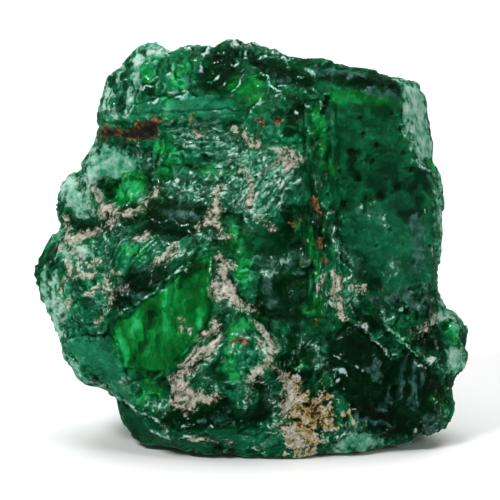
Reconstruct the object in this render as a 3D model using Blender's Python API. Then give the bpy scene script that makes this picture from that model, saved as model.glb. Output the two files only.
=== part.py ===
"""A rough emerald: one broken piece of a clear green beryl prism.

The stone rests on a small flat under its weight. Its front shows one flat
prism face on the right, a band of shell-shaped scoops along the top, a rough
middle with a proud plate, a leaning flank on the left and thin smooth ledges
at the foot. Two more prism faces and a few large scoops make up its back.

Places are written as (across, up, forward) in millimetres, as seen by someone
who looks at the front from VIEW_TILT above the horizon. up is 0 at the foot's
lowest point and forward grows towards that person.
"""

import math

import bmesh
import bpy
from mathutils import Euler, Matrix, Vector, noise
from mathutils.geometry import delaunay_2d_cdt

MM = 0.001
VIEW_TILT = math.radians(13.0)
FOOT_FORWARD = 3.0
STONE_NAME = "rough_emerald"
STONE_COLOUR = (0.010, 0.160, 0.060, 1.0)
STONE_ROUGHNESS = 0.25

# Lengths here and below are in millimetres.
GRAIN = 0.26
TRIANGLES = 8000
CHIP_SIZE = 2.1
CHIP_DEPTH = 0.16
GRIT_SIZE = 1.1
GRIT_DEPTH = 0.07
CHIP_SEED = Vector((13.7, 4.1, 8.9))
SCOOP_UNEVEN = 0.12

# Settings of the triangulation: keep what lies inside the outline, and the
# distance under which two of its points are one.
KEEP_INSIDE = 1
TOUCHING = 1e-4

# The outline, clockwise from the left tip. Each stretch has the forward place
# of its first and last point, then its points as (across, up).
OUTLINE = (
    ("left tip", -0.6, -1.0, (
        (-10.8, 9.05), (-10.6, 9.5), (-10.45, 10.0), (-10.2, 10.45), (-9.9, 10.8), (-9.4, 11.35))),
    ("left lump", -1.6, -1.6, (
        (-9.35, 11.6), (-9.53, 12.3), (-9.55, 12.9), (-9.4, 13.8), (-9.2, 14.1), (-8.6, 14.25))),
    ("left shoulder", -0.6, 0.0, (
        (-8.3, 14.75), (-8.1, 15.15), (-7.85, 15.45), (-7.75, 15.75), (-7.75, 16.65),
        (-7.83, 17.05), (-7.75, 17.45), (-7.55, 17.7))),
    ("upper left", 0.0, 0.4, (
        (-7.4, 18.05), (-7.35, 18.5), (-7.35, 19.05), (-7.3, 19.4), (-7.15, 19.65), (-6.7, 19.68),
        (-6.5, 19.6))),
    ("top knob", 0.6, 1.0, (
        (-6.3, 19.75), (-6.15, 20.0), (-5.9, 20.25), (-5.65, 20.55), (-5.35, 20.73), (-5.0, 20.8),
        (-4.5, 20.8), (-4.35, 20.7), (-4.2, 20.4), (-4.0, 20.35))),
    ("top left", 1.0, 1.6, (
        (-3.6, 20.55), (-3.3, 20.65), (-2.5, 20.63), (-2.15, 20.55), (-1.5, 20.65), (-1.0, 20.75),
        (-0.5, 20.75), (0.2, 20.65))),
    ("top middle", 1.6, 2.4, (
        (0.45, 20.4), (0.9, 20.43), (1.25, 20.3), (1.6, 20.23), (2.0, 20.05), (2.65, 19.98),
        (3.5, 19.83))),
    ("top right", 2.8, 2.8, (
        (4.75, 19.55), (5.9, 19.3), (6.15, 19.18), (7.1, 19.08), (7.5, 19.05))),
    ("pale edge", 1.6, -0.8, (
        (8.0, 18.85), (8.3, 18.85), (8.5, 18.7), (8.7, 18.4), (8.8, 18.1), (8.85, 17.15),
        (8.95, 16.65), (9.15, 16.05), (9.28, 15.65), (9.28, 15.15), (9.23, 14.9))),
    ("right side", -0.6, 0.0, (
        (9.35, 14.5), (9.5, 14.0), (9.6, 13.55), (9.58, 12.4), (9.6, 11.9), (9.53, 11.6),
        (9.45, 10.4), (9.33, 9.9), (9.3, 8.65), (9.38, 8.15))),
    ("right bump", -0.8, -1.2, (
        (9.5, 7.95), (9.85, 7.65), (10.25, 7.4), (10.5, 7.15), (10.7, 6.8), (10.75, 6.3),
        (10.68, 5.9))),
    ("right lump", -1.4, -0.8, (
        (10.73, 5.4), (10.9, 4.6), (10.83, 4.4), (10.55, 4.23), (10.2, 4.05))),
    ("right foot", -0.6, -0.2, (
        (10.1, 3.7), (10.25, 3.5), (10.25, 3.05), (10.13, 2.15), (10.05, 1.7), (9.85, 1.35))),
    ("under right", 0.2, 1.6, (
        (9.55, 1.1), (8.75, 0.98), (8.4, 0.8), (7.5, 0.68), (6.9, 0.63), (6.4, 0.48))),
    ("under middle", 2.2, 3.0, (
        (5.5, 0.33), (4.75, 0.3), (3.35, 0.33), (3.1, 0.18), (2.75, 0.1), (2.0, 0.0))),
    ("under left", 3.0, 2.2, (
        (1.25, 0.08), (0.0, 0.1), (-0.5, 0.18), (-1.0, 0.3), (-2.25, 0.33), (-2.75, 0.3),
        (-3.15, 0.4), (-3.5, 0.5))),
    ("slab foot", 1.2, 0.4, (
        (-4.0, 0.63), (-5.3, 0.7), (-5.6, 0.85), (-5.85, 1.2), (-6.15, 1.55), (-6.5, 1.9),
        (-6.6, 2.3), (-6.7, 2.75), (-6.75, 3.15))),
    ("left slab", 0.2, -0.4, (
        (-7.1, 3.3), (-7.3, 3.4), (-8.25, 3.55), (-8.45, 3.6), (-8.65, 3.9), (-8.9, 4.4),
        (-9.1, 4.75))),
    ("left flank", -0.2, -0.6, (
        (-9.35, 4.9), (-9.4, 5.3), (-9.4, 5.65), (-9.55, 6.0), (-9.6, 6.65), (-9.8, 7.15),
        (-10.0, 7.6), (-10.45, 8.25), (-10.65, 8.65))),
)

# Lines of the front that stay crisp: edges, ridges and the feet of steps.
FRONT_LINES = (
    ("prism face, left edge", (
        (3.4, 17.75, 4.3), (3.4, 15.9, 4.4), (3.3, 13.9, 4.4), (3.4, 12.15, 4.4),
        (3.6, 10.65, 4.35), (4.0, 9.4, 4.3), (4.3, 7.9, 4.3), (4.6, 7.0, 4.3))),
    ("groove beside the prism face", (
        (2.6, 17.0, 4.0), (2.7, 14.6, 4.15), (2.4, 12.0, 3.95), (2.9, 9.9, 3.8), (3.1, 8.2, 3.85),
        (3.7, 6.6, 3.8))),
    ("prism face, top edge", (
        (4.75, 18.6, 4.0), (6.1, 18.5, 3.75), (7.4, 18.4, 3.45))),
    ("prism face, right edge", (
        (7.4, 18.4, 3.45), (7.7, 16.65, 3.4), (7.9, 15.65, 3.35), (8.25, 14.9, 3.2),
        (8.75, 14.3, 2.9), (9.1, 13.6, 2.4))),
    ("prism face, lower right edge", (
        (9.1, 13.6, 2.4), (9.1, 12.0, 2.5), (8.95, 10.4, 2.6), (8.85, 8.4, 2.7))),
    ("hollow, upper edge", (
        (4.6, 7.0, 4.3), (5.25, 6.65, 4.2), (5.75, 6.25, 4.1), (6.35, 5.55, 3.9),
        (7.0, 5.1, 3.8), (7.5, 5.3, 3.6), (8.1, 5.4, 3.3), (8.9, 4.5, 2.6))),
    ("step above the hollow", (
        (6.25, 7.5, 4.0), (7.0, 6.4, 3.6), (7.5, 5.9, 3.4))),
    ("top of the bright sliver", (
        (3.5, 1.2, 3.2), (5.0, 1.3, 2.95), (6.75, 1.2, 2.2))),
    ("smooth band, upper edge", (
        (-7.0, 17.75, 1.7), (-5.0, 17.9, 3.0), (-3.0, 17.9, 3.5), (-1.0, 17.5, 3.7),
        (0.6, 17.0, 4.0), (1.65, 17.8, 3.9), (2.6, 17.9, 4.1), (3.4, 17.75, 4.3))),
    ("smooth band, lower edge", (
        (-7.4, 16.55, 1.4), (-5.5, 16.7, 2.9), (-4.25, 16.95, 3.4), (-2.5, 16.4, 4.0),
        (-0.5, 16.2, 4.1))),
    ("foot of the stained ledge", (
        (-7.2, 15.95, 0.8), (-5.5, 15.95, 2.3), (-4.5, 15.9, 2.9))),
    ("ridge between the scoops", (
        (-0.15, 19.8, 2.7), (0.3, 19.3, 3.0), (0.7, 18.65, 3.4), (1.1, 18.25, 3.7),
        (1.65, 17.8, 3.9))),
    ("arched vein on the left", (
        (-4.5, 13.4, 3.1), (-5.0, 12.65, 3.1), (-5.5, 12.3, 3.0), (-6.5, 12.15, 2.7),
        (-7.1, 12.5, 2.2), (-7.6, 13.0, 1.5), (-7.9, 13.65, 1.3))),
    ("ledge on the left", (
        (-9.2, 10.95, 0.3), (-8.25, 11.05, 1.3), (-7.3, 11.1, 2.1), (-6.25, 11.15, 3.0),
        (-5.0, 11.0, 3.9), (-3.6, 10.9, 4.6))),
    ("ridge above the bright face", (
        (-2.2, 10.3, 5.0), (-3.0, 9.8, 5.0), (-3.5, 9.5, 4.95), (-4.25, 8.9, 4.8),
        (-5.0, 8.25, 4.6), (-5.5, 7.75, 4.4), (-6.25, 7.15, 4.0), (-7.25, 6.15, 3.3))),
    ("line across the flank", (
        (-9.35, 6.02, 0.5), (-8.25, 6.05, 1.9), (-7.25, 6.15, 3.3))),
    ("lower left edge", (
        (-9.0, 5.0, 0.9), (-8.5, 4.6, 1.5), (-8.0, 4.05, 1.9), (-7.5, 3.75, 2.1),
        (-6.5, 3.2, 2.4), (-6.0, 2.9, 2.6), (-5.5, 2.5, 2.8), (-5.0, 2.05, 3.0), (-4.75, 1.5, 3.0),
        (-4.25, 1.25, 3.1), (-3.5, 1.05, 3.2), (-2.5, 1.0, 3.3), (-0.75, 0.8, 3.3))),
    ("left slab, inner edge", (
        (-8.85, 4.7, 0.1), (-8.35, 4.2, 0.3), (-7.85, 3.75, 0.5))),
    ("lower slab, inner edge", (
        (-6.35, 2.75, 1.1), (-5.9, 2.4, 1.2), (-5.4, 1.95, 1.4), (-5.1, 1.35, 1.5),
        (-4.4, 1.0, 1.8), (-3.4, 0.8, 2.4))),
    ("clay vein and plate", (
        (-1.65, 10.5, 4.9), (-1.2, 9.5, 5.1), (-1.0, 8.4, 5.3), (-0.25, 7.65, 5.5),
        (0.4, 6.65, 5.6), (1.0, 5.9, 5.6), (1.5, 5.65, 5.4), (1.1, 5.0, 5.3), (0.6, 4.5, 5.1),
        (0.1, 4.0, 4.9), (-0.2, 3.4, 4.5))),
    ("foot of the plate", (
        (0.2, 7.7, 4.6), (0.8, 6.9, 4.5), (1.4, 6.2, 4.4), (2.0, 5.6, 4.2), (1.5, 4.8, 4.2),
        (0.9, 4.1, 4.2), (0.3, 3.3, 4.1))),
    ("left branch of the vein", (
        (-1.3, 7.3, 5.0), (-1.85, 6.15, 4.85), (-2.5, 5.15, 4.6), (-3.1, 4.5, 4.3),
        (-3.9, 4.0, 3.9))),
)

FRONT_SPOTS = (
    (5.2, 16.5, 4.0), (6.3, 13.0, 3.8), (5.4, 10.0, 3.9), (7.4, 10.0, 3.5), (7.2, 15.2, 3.55),
    (5.2, 13.5, 4.0), (6.6, 8.4, 3.6), (8.0, 6.8, 3.3), (8.6, 6.2, 2.7), (5.4, 7.8, 4.0),
    (5.0, 4.4, 3.7), (6.5, 3.65, 3.3), (8.0, 3.4, 2.8), (9.0, 2.9, 2.1), (5.5, 2.15, 3.2),
    (7.25, 1.9, 2.6), (8.5, 1.65, 1.9), (4.2, 5.2, 3.9), (4.3, 3.4, 3.6),
    (9.0, 7.6, 2.3), (9.3, 6.4, 1.7), (9.5, 5.65, 1.4), (10.0, 6.95, 0.9), (10.25, 6.3, 0.8),
    (10.1, 5.3, 0.8), (10.4, 4.8, 0.5), (9.7, 4.3, 1.1), (9.75, 3.6, 1.0), (9.8, 2.6, 0.9),
    (9.45, 1.6, 0.9),
    (-1.75, 19.3, 2.6), (-0.75, 18.8, 3.0), (-2.0, 18.3, 3.3), (-2.75, 20.0, 2.0),
    (1.75, 19.4, 3.1), (2.75, 18.75, 3.6), (4.0, 19.1, 3.6), (1.0, 19.7, 2.7),
    (-6.6, 18.9, 1.5), (-5.75, 19.4, 1.9), (-4.5, 20.0, 1.9), (-5.0, 18.8, 2.7),
    (-3.75, 19.3, 2.2), (-3.25, 18.5, 3.0), (-6.9, 18.2, 1.3),
    (-3.75, 15.5, 3.5), (-2.5, 14.9, 4.0), (-0.5, 14.9, 4.3), (1.5, 15.4, 4.2),
    (2.2, 14.4, 4.1), (-3.25, 13.65, 3.8), (-1.0, 13.4, 4.4), (1.25, 13.15, 4.3),
    (-2.5, 12.15, 4.5), (-0.5, 12.15, 4.7), (1.2, 16.6, 4.0),
    (-8.25, 13.4, 0.3), (-7.75, 14.4, 0.8), (-7.0, 14.9, 1.3), (-6.0, 15.1, 1.8),
    (-6.9, 13.3, 0.7), (-5.75, 13.4, 1.7), (-4.6, 14.6, 2.7), (-8.9, 13.4, -0.4),
    (-9.0, 12.2, -0.3), (-8.35, 11.7, 0.1), (-7.6, 11.8, 1.1), (-5.6, 11.7, 2.6),
    (-4.2, 12.0, 3.8),
    (-9.6, 9.4, 0.9), (-8.0, 9.15, 2.3), (-6.5, 9.15, 3.3), (-5.0, 9.8, 4.2),
    (-9.4, 7.9, 0.9), (-8.25, 7.65, 2.0), (-7.0, 7.6, 3.0),
    (-5.0, 6.65, 4.4), (-3.75, 7.9, 4.9), (-2.25, 8.4, 4.8), (-6.0, 5.65, 3.7),
    (-4.25, 5.4, 4.3), (-2.75, 6.6, 4.8), (-8.5, 5.3, 1.5), (-7.5, 4.75, 2.3),
    (-6.6, 4.1, 2.9), (-6.0, 3.65, 3.1), (-5.0, 3.15, 3.4), (-4.0, 2.4, 3.6),
    (-3.2, 2.2, 3.7), (-1.6, 3.1, 4.2), (-2.5, 3.9, 4.2), (-3.0, 1.6, 3.5),
    (-1.75, 1.65, 3.7), (-0.5, 2.4, 3.9), (0.6, 1.65, 3.6), (1.75, 0.9, 3.3),
    (1.2, 3.0, 3.9), (-1.1, 6.8, 5.1), (-1.4, 5.4, 5.0), (-1.1, 4.15, 4.8), (-0.2, 5.6, 5.3),
    (0.5, 10.9, 4.4), (1.75, 10.4, 3.9), (2.0, 8.4, 3.7), (0.75, 8.9, 4.4), (2.3, 6.9, 3.8),
    (0.0, 9.65, 4.7), (2.0, 12.2, 4.0), (2.6, 4.3, 4.0), (2.75, 3.0, 3.8), (3.5, 2.9, 3.7),
    (2.9, 1.65, 3.5), (4.0, 2.0, 3.3), (2.5, 0.65, 3.2), (3.1, 5.4, 3.9),
)

# Edges and corners of the back. Those below the resting plane are cut off.
BACK_LINES = (
    ("edge between the two back prism faces", (
        (3.5, 19.0, -5.8), (3.7, 14.5, -6.9), (3.8, 9.0, -7.2), (3.7, 4.5, -7.2),
        (3.6, 0.9, -7.0))),
    ("left edge of the rear prism face", (
        (-5.2, 18.2, -4.3), (-5.7, 13.5, -4.9), (-6.2, 9.0, -5.0), (-5.6, 5.0, -5.2),
        (-4.9, 1.0, -5.0))),
    ("back edge of the top", (
        (7.0, 18.6, -2.6), (3.5, 19.0, -5.8), (0.2, 19.7, -5.0), (-2.8, 19.3, -4.6),
        (-5.2, 18.2, -4.3))),
    ("right edge of the side prism face", (
        (8.4, 17.2, -1.8), (8.7, 13.0, -2.0), (8.6, 9.0, -2.1), (8.8, 5.2, -3.0),
        (8.4, 1.4, -3.2))),
    ("back edge of the underside", (
        (-4.9, 1.0, -5.0), (-2.4, 0.7, -5.2), (-0.8, 0.7, -5.6), (1.5, 0.75, -6.3),
        (3.6, 0.9, -7.0), (6.0, 1.1, -5.2), (8.4, 1.4, -3.2))),
    ("front edge of the underside", (
        (-4.7, 0.82, -1.2), (-2.6, 0.5, -0.6), (0.0, 0.25, -0.2), (2.0, 0.14, -0.2),
        (3.2, 0.48, -0.4), (6.2, 0.72, -0.8), (8.2, 1.05, -1.0))),
)

BACK_SPOTS = (
    (-1.0, 14.0, -6.1), (-1.3, 8.5, -6.3), (-1.0, 4.0, -6.3),
    (-8.4, 9.4, -3.2), (-8.6, 12.6, -3.0), (-7.0, 15.4, -2.8), (-6.7, 18.4, -1.8),
    (-8.3, 6.2, -3.0), (-7.6, 4.5, -2.7), (-6.0, 2.0, -2.6), (-4.9, 20.1, -1.6),
    (-2.2, 20.1, -1.4), (1.0, 19.9, -1.2), (5.0, 19.0, -1.2), (9.8, 6.3, -2.6),
    (9.9, 4.9, -2.7), (9.4, 2.9, -2.4), (8.8, 1.35, -1.6), (-9.9, 9.3, -1.9),
    (-3.0, 0.65, -3.0), (0.0, 0.5, -3.0), (3.0, 0.6, -3.2), (6.5, 0.9, -3.0),
)

# Shell-shaped hollows left by conchoidal breaks: the centre of the ball that
# fits each, its half sizes (across, up, forward), and its turn in degrees.
SCOOPS = (
    ("top band, left", (-1.5, 20.1, 4.4), (2.3, 2.1, 2.6), (0, 0, 12)),
    ("top band, left, second", (0.1, 19.9, 4.9), (1.9, 1.8, 2.3), (0, 0, -15)),
    ("top band, middle", (2.75, 19.9, 4.5), (1.9, 1.5, 1.75), (0, 0, -8)),
    ("top band, knob", (-4.0, 19.6, 4.1), (1.5, 1.5, 1.9), (0, 0, 20)),
    ("top band, right", (5.1, 20.0, 5.0), (1.5, 1.3, 1.5), (0, 0, -12)),
    ("lower right hollow", (8.6, 2.2, 6.6), (5.3, 4.6, 5.0), (0, 0, -20)),
    ("lower right hollow, left shell", (6.0, 3.6, 6.0), (2.4, 2.2, 2.9), (0, 0, 15)),
    ("lower right hollow, foot", (8.8, 0.9, 4.3), (2.4, 1.9, 2.7), (0, 0, 15)),
    ("left pocket", (-6.9, 13.4, 2.2), (0.9, 0.75, 1.8), (0, 0, 20)),
    ("left hollow", (-8.3, 11.65, 1.6), (0.75, 0.35, 1.5), (0, 0, -10)),
    ("centre hollow", (2.0, 9.2, 5.4), (1.0, 2.6, 1.9), (0, 0, 0)),
    ("beside the plate", (2.7, 5.3, 5.6), (1.2, 1.5, 1.9), (0, 0, 25)),
    ("under the bright face", (-4.6, 1.4, 6.1), (2.4, 1.7, 3.0), (0, 0, -25)),
    ("back, upper left", (-6.6, 16.4, -8.2), (4.6, 4.2, 5.2), (0, 0, 25)),
    ("back, upper left shell", (-3.4, 17.4, -7.6), (2.6, 2.4, 3.1), (0, 0, 5)),
    ("back, low middle", (-1.6, 4.0, -10.2), (4.8, 3.6, 5.4), (0, 0, -15)),
    ("back, low middle shell", (1.4, 3.2, -9.0), (2.6, 2.4, 3.1), (0, 0, 20)),
    ("back, right", (9.8, 10.8, -8.0), (3.6, 4.8, 5.2), (0, 0, 10)),
    ("top, behind the rim", (1.2, 22.4, -2.4), (4.4, 3.5, 3.3), (0, 0, -6)),
    ("left end", (-11.6, 6.0, -3.6), (2.6, 2.4, 3.0), (0, 0, 0)),
)

# Broad faces that broke smooth: centre (across, up), half sizes and how much
# of the chipped relief is left on them. They belong to the front.
SMOOTH_FACES = (
    ((6.2, 13.4), (2.6, 5.4), 0.22),
    ((-7.2, 8.6), (2.6, 2.3), 0.45),
    ((-4.6, 6.4), (2.3, 2.4), 0.40),
    ((-3.2, 17.2), (3.6, 0.6), 0.15),
    ((-5.2, 1.4), (1.5, 0.9), 0.10),
    ((-8.3, 4.1), (0.9, 0.7), 0.15),
    ((-7.8, 4.9), (1.2, 0.7), 0.30),
    ((6.9, 3.2), (2.2, 1.7), 0.35),
    ((8.6, 16.4), (0.6, 2.2), 0.20),
)


def clear_scene():
    for item in list(bpy.data.objects):
        bpy.data.objects.remove(item, do_unlink=True)


def in_space(place):
    """The metre position of an (across, up, forward) place in millimetres."""
    across, up, forward = place
    forward -= FOOT_FORWARD
    back = up * math.sin(VIEW_TILT) - forward * math.cos(VIEW_TILT)
    height = up * math.cos(VIEW_TILT) + forward * math.sin(VIEW_TILT)
    return Vector((across, back, height)) * MM


def as_seen(position):
    """The (across, up, forward) place of a metre position, in millimetres."""
    across, back, height = position / MM
    up = back * math.sin(VIEW_TILT) + height * math.cos(VIEW_TILT)
    forward = height * math.sin(VIEW_TILT) - back * math.cos(VIEW_TILT)
    return Vector((across, up, forward + FOOT_FORWARD))


def outline_places():
    places = []
    for _, first, last, points in OUTLINE:
        steps = max(len(points) - 1, 1)
        for index, (across, up) in enumerate(points):
            forward = first + (last - first) * index / steps
            places.append((across, up, forward))
    return places


def sheet_triangles(rim, lines, spots):
    """Triangulates one side of the stone, as seen from the front."""
    places = list(rim)
    edges = []
    for _, line in lines:
        start = len(places)
        places.extend(line)
        edges.extend((start + step, start + step + 1) for step in range(len(line) - 1))
    places.extend(spots)
    flat = [Vector((across, up)) for across, up, _ in places]
    rim_face = list(range(len(rim)))
    corners, _, faces, origins, _, _ = delaunay_2d_cdt(flat, edges, [rim_face], KEEP_INSIDE, TOUCHING)
    solid_places = []
    for corner, origin in zip(corners, origins):
        if origin:
            forward = places[origin[0]][2]
        else:
            nearest = min(places, key=lambda place: (Vector(place[:2]) - corner).length)
            forward = nearest[2]
        solid_places.append((corner.x, corner.y, forward))
    return solid_places, faces


def build_cage():
    """The stone's facets: a front sheet and a back sheet that share the outline."""
    rim = outline_places()
    shell = bmesh.new()
    for lines, spots, flip in ((FRONT_LINES, FRONT_SPOTS, False), (BACK_LINES, BACK_SPOTS, True)):
        places, faces = sheet_triangles(rim, lines, spots)
        verts = [shell.verts.new(in_space(place)) for place in places]
        for face in faces:
            corners = [verts[index] for index in face]
            shell.faces.new(reversed(corners) if flip else corners)
    bmesh.ops.remove_doubles(shell, verts=shell.verts, dist=0.00001)
    bmesh.ops.recalc_face_normals(shell, faces=shell.faces)
    mesh = bpy.data.meshes.new(STONE_NAME)
    shell.to_mesh(mesh)
    shell.free()
    stone = bpy.data.objects.new(STONE_NAME, mesh)
    bpy.context.collection.objects.link(stone)
    return stone


def keep_modifiers(stone):
    """Replaces the object's mesh by what its modifiers make of it."""
    seen = bpy.context.evaluated_depsgraph_get()
    mesh = bpy.data.meshes.new_from_object(stone.evaluated_get(seen))
    stone.modifiers.clear()
    stone.data = mesh


def scoop_cutter(name, centre, half_sizes, turn):
    ball = bmesh.new()
    bmesh.ops.create_icosphere(ball, subdivisions=4, radius=1.0)
    size = Matrix.Diagonal((*half_sizes, 1.0))
    turned = Euler([math.radians(angle) for angle in turn]).to_matrix().to_4x4()
    for vert in ball.verts:
        swell = 1.0 + SCOOP_UNEVEN * noise.noise(vert.co * 1.6 + Vector(centre))
        vert.co = in_space(Vector(centre) + (turned @ size) @ (vert.co * swell))
    bmesh.ops.recalc_face_normals(ball, faces=ball.faces)
    mesh = bpy.data.meshes.new(name)
    ball.to_mesh(mesh)
    ball.free()
    cutter = bpy.data.objects.new(name, mesh)
    bpy.context.collection.objects.link(cutter)
    return cutter


def cut_scoops(stone):
    cutters = []
    for number, (_, centre, half_sizes, turn) in enumerate(SCOOPS):
        cutter = scoop_cutter(f"scoop_{number}", centre, half_sizes, turn)
        cut = stone.modifiers.new(cutter.name, "BOOLEAN")
        cut.operation = "DIFFERENCE"
        cut.object = cutter
        cutters.append(cutter)
    keep_modifiers(stone)
    for cutter in cutters:
        bpy.data.objects.remove(cutter, do_unlink=True)


def even_mesh(stone):
    remesh = stone.modifiers.new("even mesh", "REMESH")
    remesh.mode = "VOXEL"
    remesh.voxel_size = GRAIN * MM
    keep_modifiers(stone)


def share_of_relief(place):
    """How much chipped relief a place keeps: 1 on rough ground, less on smooth faces."""
    share = 1.0
    if place.z < 0.0:
        return share
    for (across, up), (half_width, half_height), left in SMOOTH_FACES:
        reach = math.hypot((place.x - across) / half_width, (place.y - up) / half_height)
        inside = min(max((1.15 - reach) / 0.3, 0.0), 1.0)
        share = min(share, 1.0 - inside * (1.0 - left))
    return share


def chip_height(place):
    """Small flat chips: each cell stands at its own level and leans its own way."""
    spot = place / CHIP_SIZE + CHIP_SEED
    distances, centres = noise.voronoi(spot)
    centre = centres[0]
    level = noise.cell(centre * 7.3) - 0.5
    lean = noise.cell_vector(centre * 5.1) - Vector((0.5, 0.5, 0.5))
    height = CHIP_DEPTH * (level + 1.6 * lean.dot(spot - centre))
    edge = min((distances[1] - distances[0]) / 0.12, 1.0)
    return height * edge


def grit_height(place):
    return GRIT_DEPTH * noise.fractal(place / GRIT_SIZE, 1.0, 2.0, 3)


def add_relief(stone):
    mesh = stone.data
    places = [as_seen(vert.co) for vert in mesh.vertices]
    normals = [vert.normal.copy() for vert in mesh.vertices]
    for vert, place, normal in zip(mesh.vertices, places, normals):
        height = (chip_height(place) + grit_height(place)) * share_of_relief(place)
        vert.co += normal * (height * MM)


def thin_out(stone):
    stone.data.calc_loop_triangles()
    fewer = stone.modifiers.new("fewer triangles", "DECIMATE")
    fewer.ratio = TRIANGLES / len(stone.data.loop_triangles)
    fewer.use_collapse_triangulate = True
    keep_modifiers(stone)


def flatten_foot(stone):
    """Cuts the stone flat where it rests, at height 0."""
    work = bmesh.new()
    work.from_mesh(stone.data)
    everything = list(work.verts) + list(work.edges) + list(work.faces)
    bmesh.ops.bisect_plane(
        work, geom=everything, dist=1e-7, plane_co=(0, 0, 0), plane_no=(0, 0, 1), clear_inner=True)
    rim = [edge for edge in work.edges if edge.is_boundary]
    bmesh.ops.holes_fill(work, edges=rim, sides=0)
    bmesh.ops.triangulate(work, faces=[face for face in work.faces if len(face.verts) > 3])
    bmesh.ops.recalc_face_normals(work, faces=work.faces)
    work.to_mesh(stone.data)
    work.free()


def centre_over_origin(stone):
    """Puts the middle of the stone's box over the origin, with its foot at height 0."""
    places = [vert.co for vert in stone.data.vertices]
    middle_x = (min(place.x for place in places) + max(place.x for place in places)) / 2
    middle_y = (min(place.y for place in places) + max(place.y for place in places)) / 2
    stone.data.transform(Matrix.Translation((-middle_x, -middle_y, 0.0)))


def colour_stone(stone):
    material = bpy.data.materials.new("emerald")
    material.use_nodes = True
    shader = material.node_tree.nodes["Principled BSDF"]
    shader.inputs["Base Color"].default_value = STONE_COLOUR
    shader.inputs["Roughness"].default_value = STONE_ROUGHNESS
    shader.inputs["Metallic"].default_value = 0.0
    shader.inputs["Transmission Weight"].default_value = 1.0
    stone.data.materials.clear()
    stone.data.materials.append(material)


def main():
    clear_scene()
    stone = build_cage()
    cut_scoops(stone)
    even_mesh(stone)
    add_relief(stone)
    thin_out(stone)
    flatten_foot(stone)
    centre_over_origin(stone)
    colour_stone(stone)


main()
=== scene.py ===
import math

import bpy
import numpy as np
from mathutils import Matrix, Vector, noise


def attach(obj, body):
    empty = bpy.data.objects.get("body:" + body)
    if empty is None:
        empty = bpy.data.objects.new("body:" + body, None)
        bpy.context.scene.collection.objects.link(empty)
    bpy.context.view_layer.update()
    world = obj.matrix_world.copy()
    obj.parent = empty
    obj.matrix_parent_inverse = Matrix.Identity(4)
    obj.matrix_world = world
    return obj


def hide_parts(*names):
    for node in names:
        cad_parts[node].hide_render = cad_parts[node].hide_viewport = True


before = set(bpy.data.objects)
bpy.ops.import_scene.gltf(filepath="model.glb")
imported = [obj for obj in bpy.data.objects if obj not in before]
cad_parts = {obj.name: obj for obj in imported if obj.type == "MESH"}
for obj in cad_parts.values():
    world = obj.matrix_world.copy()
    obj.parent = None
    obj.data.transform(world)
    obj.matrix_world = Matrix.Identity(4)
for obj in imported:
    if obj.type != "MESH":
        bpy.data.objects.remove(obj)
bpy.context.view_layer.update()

# Places on the stone are (across, up, forward) in millimetres, as seen from
# VIEW_TILT above the horizon. At the lowest point of the outline up is 0 and
# forward is FOOT_FORWARD. BOX_MIDDLE is the middle of the stone's box: its place
# across, and how far back from that point it lies.
MM = 0.001
VIEW_TILT = math.radians(13.0)
FOOT_FORWARD = 3.0
BOX_MIDDLE = (0.107, 5.863)

# The view: the photograph's 500 pixels are 25 mm of the stone.
FRAME_WIDTH = 25.0
VIEW_CENTRE = (0.0, 10.4, 0.0)
VIEW_DISTANCE = 350.0
SENSOR_WIDTH = 36.0

# The stone's fine mesh: how far apart its points are, and how much it is
# smoothed. What lies further forward than FRONT_EDGE is the front, and the rest
# is the back. The relief sets in between the two heights of FOOT_FADE.
MESH_SPACING = 0.129
SMOOTH_ROUNDS = 4
FRONT_EDGE = -1.8
FOOT_FADE = (0.02, 0.4)

# How much further than the CAD solid's the left and right ends reach out, and
# between which places across the stone that sets in.
LEFT_REACH = 0.4
LEFT_END = (7.0, 10.6)
RIGHT_REACH = 0.12
RIGHT_END = (8.0, 10.6)

# How high the relief stands, in millimetres, and how far the whole surface is
# raised to make up for what the even mesh rounds off.
CHIP_HEIGHT = 0.1
SPLINTER_HEIGHT = 0.05
FLAKE_HEIGHT = 0.012
WAVE_HEIGHT = 0.07
GRAIN_HEIGHT = 0.035
CREST_HEIGHT = 0.09
CREASE_DEPTH = 0.08
CLAY_DEPTH = 0.05
PIT_DEPTH = 0.12
SWELL = 0.09

# The patterns of the relief: each one's size, and a shift that keeps it apart
# from the others. The soft ones also have their number of finer layers.
CHIPS = (0.85, (3.1, 7.7, 1.9))
SPLINTERS = (0.45, (9.2, 2.4, 5.5))
FLAKES = (0.24, (4.4, 6.2, 8.3))
WAVES = (1.3, (2.2, 8.1, 4.7), 3)
GRAINS = (0.24, (5.8, 1.3, 7.9), 2)

# The share of a chip's size over which it falls to its neighbour, how far it
# leans, and the stretches under which its level and its lean are looked up.
CHIP_EDGE = 0.05
CHIP_LEAN = 1.7
LEVEL_STRETCH = 7.3
LEAN_STRETCH = 5.1

# The shares of the relief that are left on smooth ground, the share of the chips
# and splinters that clay fills, and the share of the clay's grain elsewhere.
SPLINTERS_ON_SMOOTH = 0.2
FLAKES_ON_SMOOTH = 0.1
WAVES_ON_SMOOTH = 0.35
FILLED_BY_CLAY = 0.7
GRAIN_OFF_CLAY = 0.2

# How much the fine structure is drawn out along its direction and closed up
# across it.
DRAWN = 0.32
CLOSE = 1.6

# The depths inside a mark between which its relief sets in.
SMOOTH_RIM = (-0.15, 0.2)
CLAY_RIM = (-0.05, 0.08)
CREST_RIM = (-0.08, 0.08)
CREASE_RIM = (-0.08, 0.06)

# A pit's wall, from its floor to its rim, in its own radius, and how squarely a
# side may still face the viewer.
PIT_WALL = (0.3, 1.3)
SIDE_TURN = (0.05, 0.45)

# How far the marks' outlines stray sideways, in millimetres, at each size, the
# shift of that pattern for each direction, and how far from a mark its depth is
# still measured.
STRAYS = ((1.3, 0.16), (0.4, 0.12))
STRAY_SHIFTS = (3.7, 19.1, 41.3)
MARK_REACH = 1.0

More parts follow.
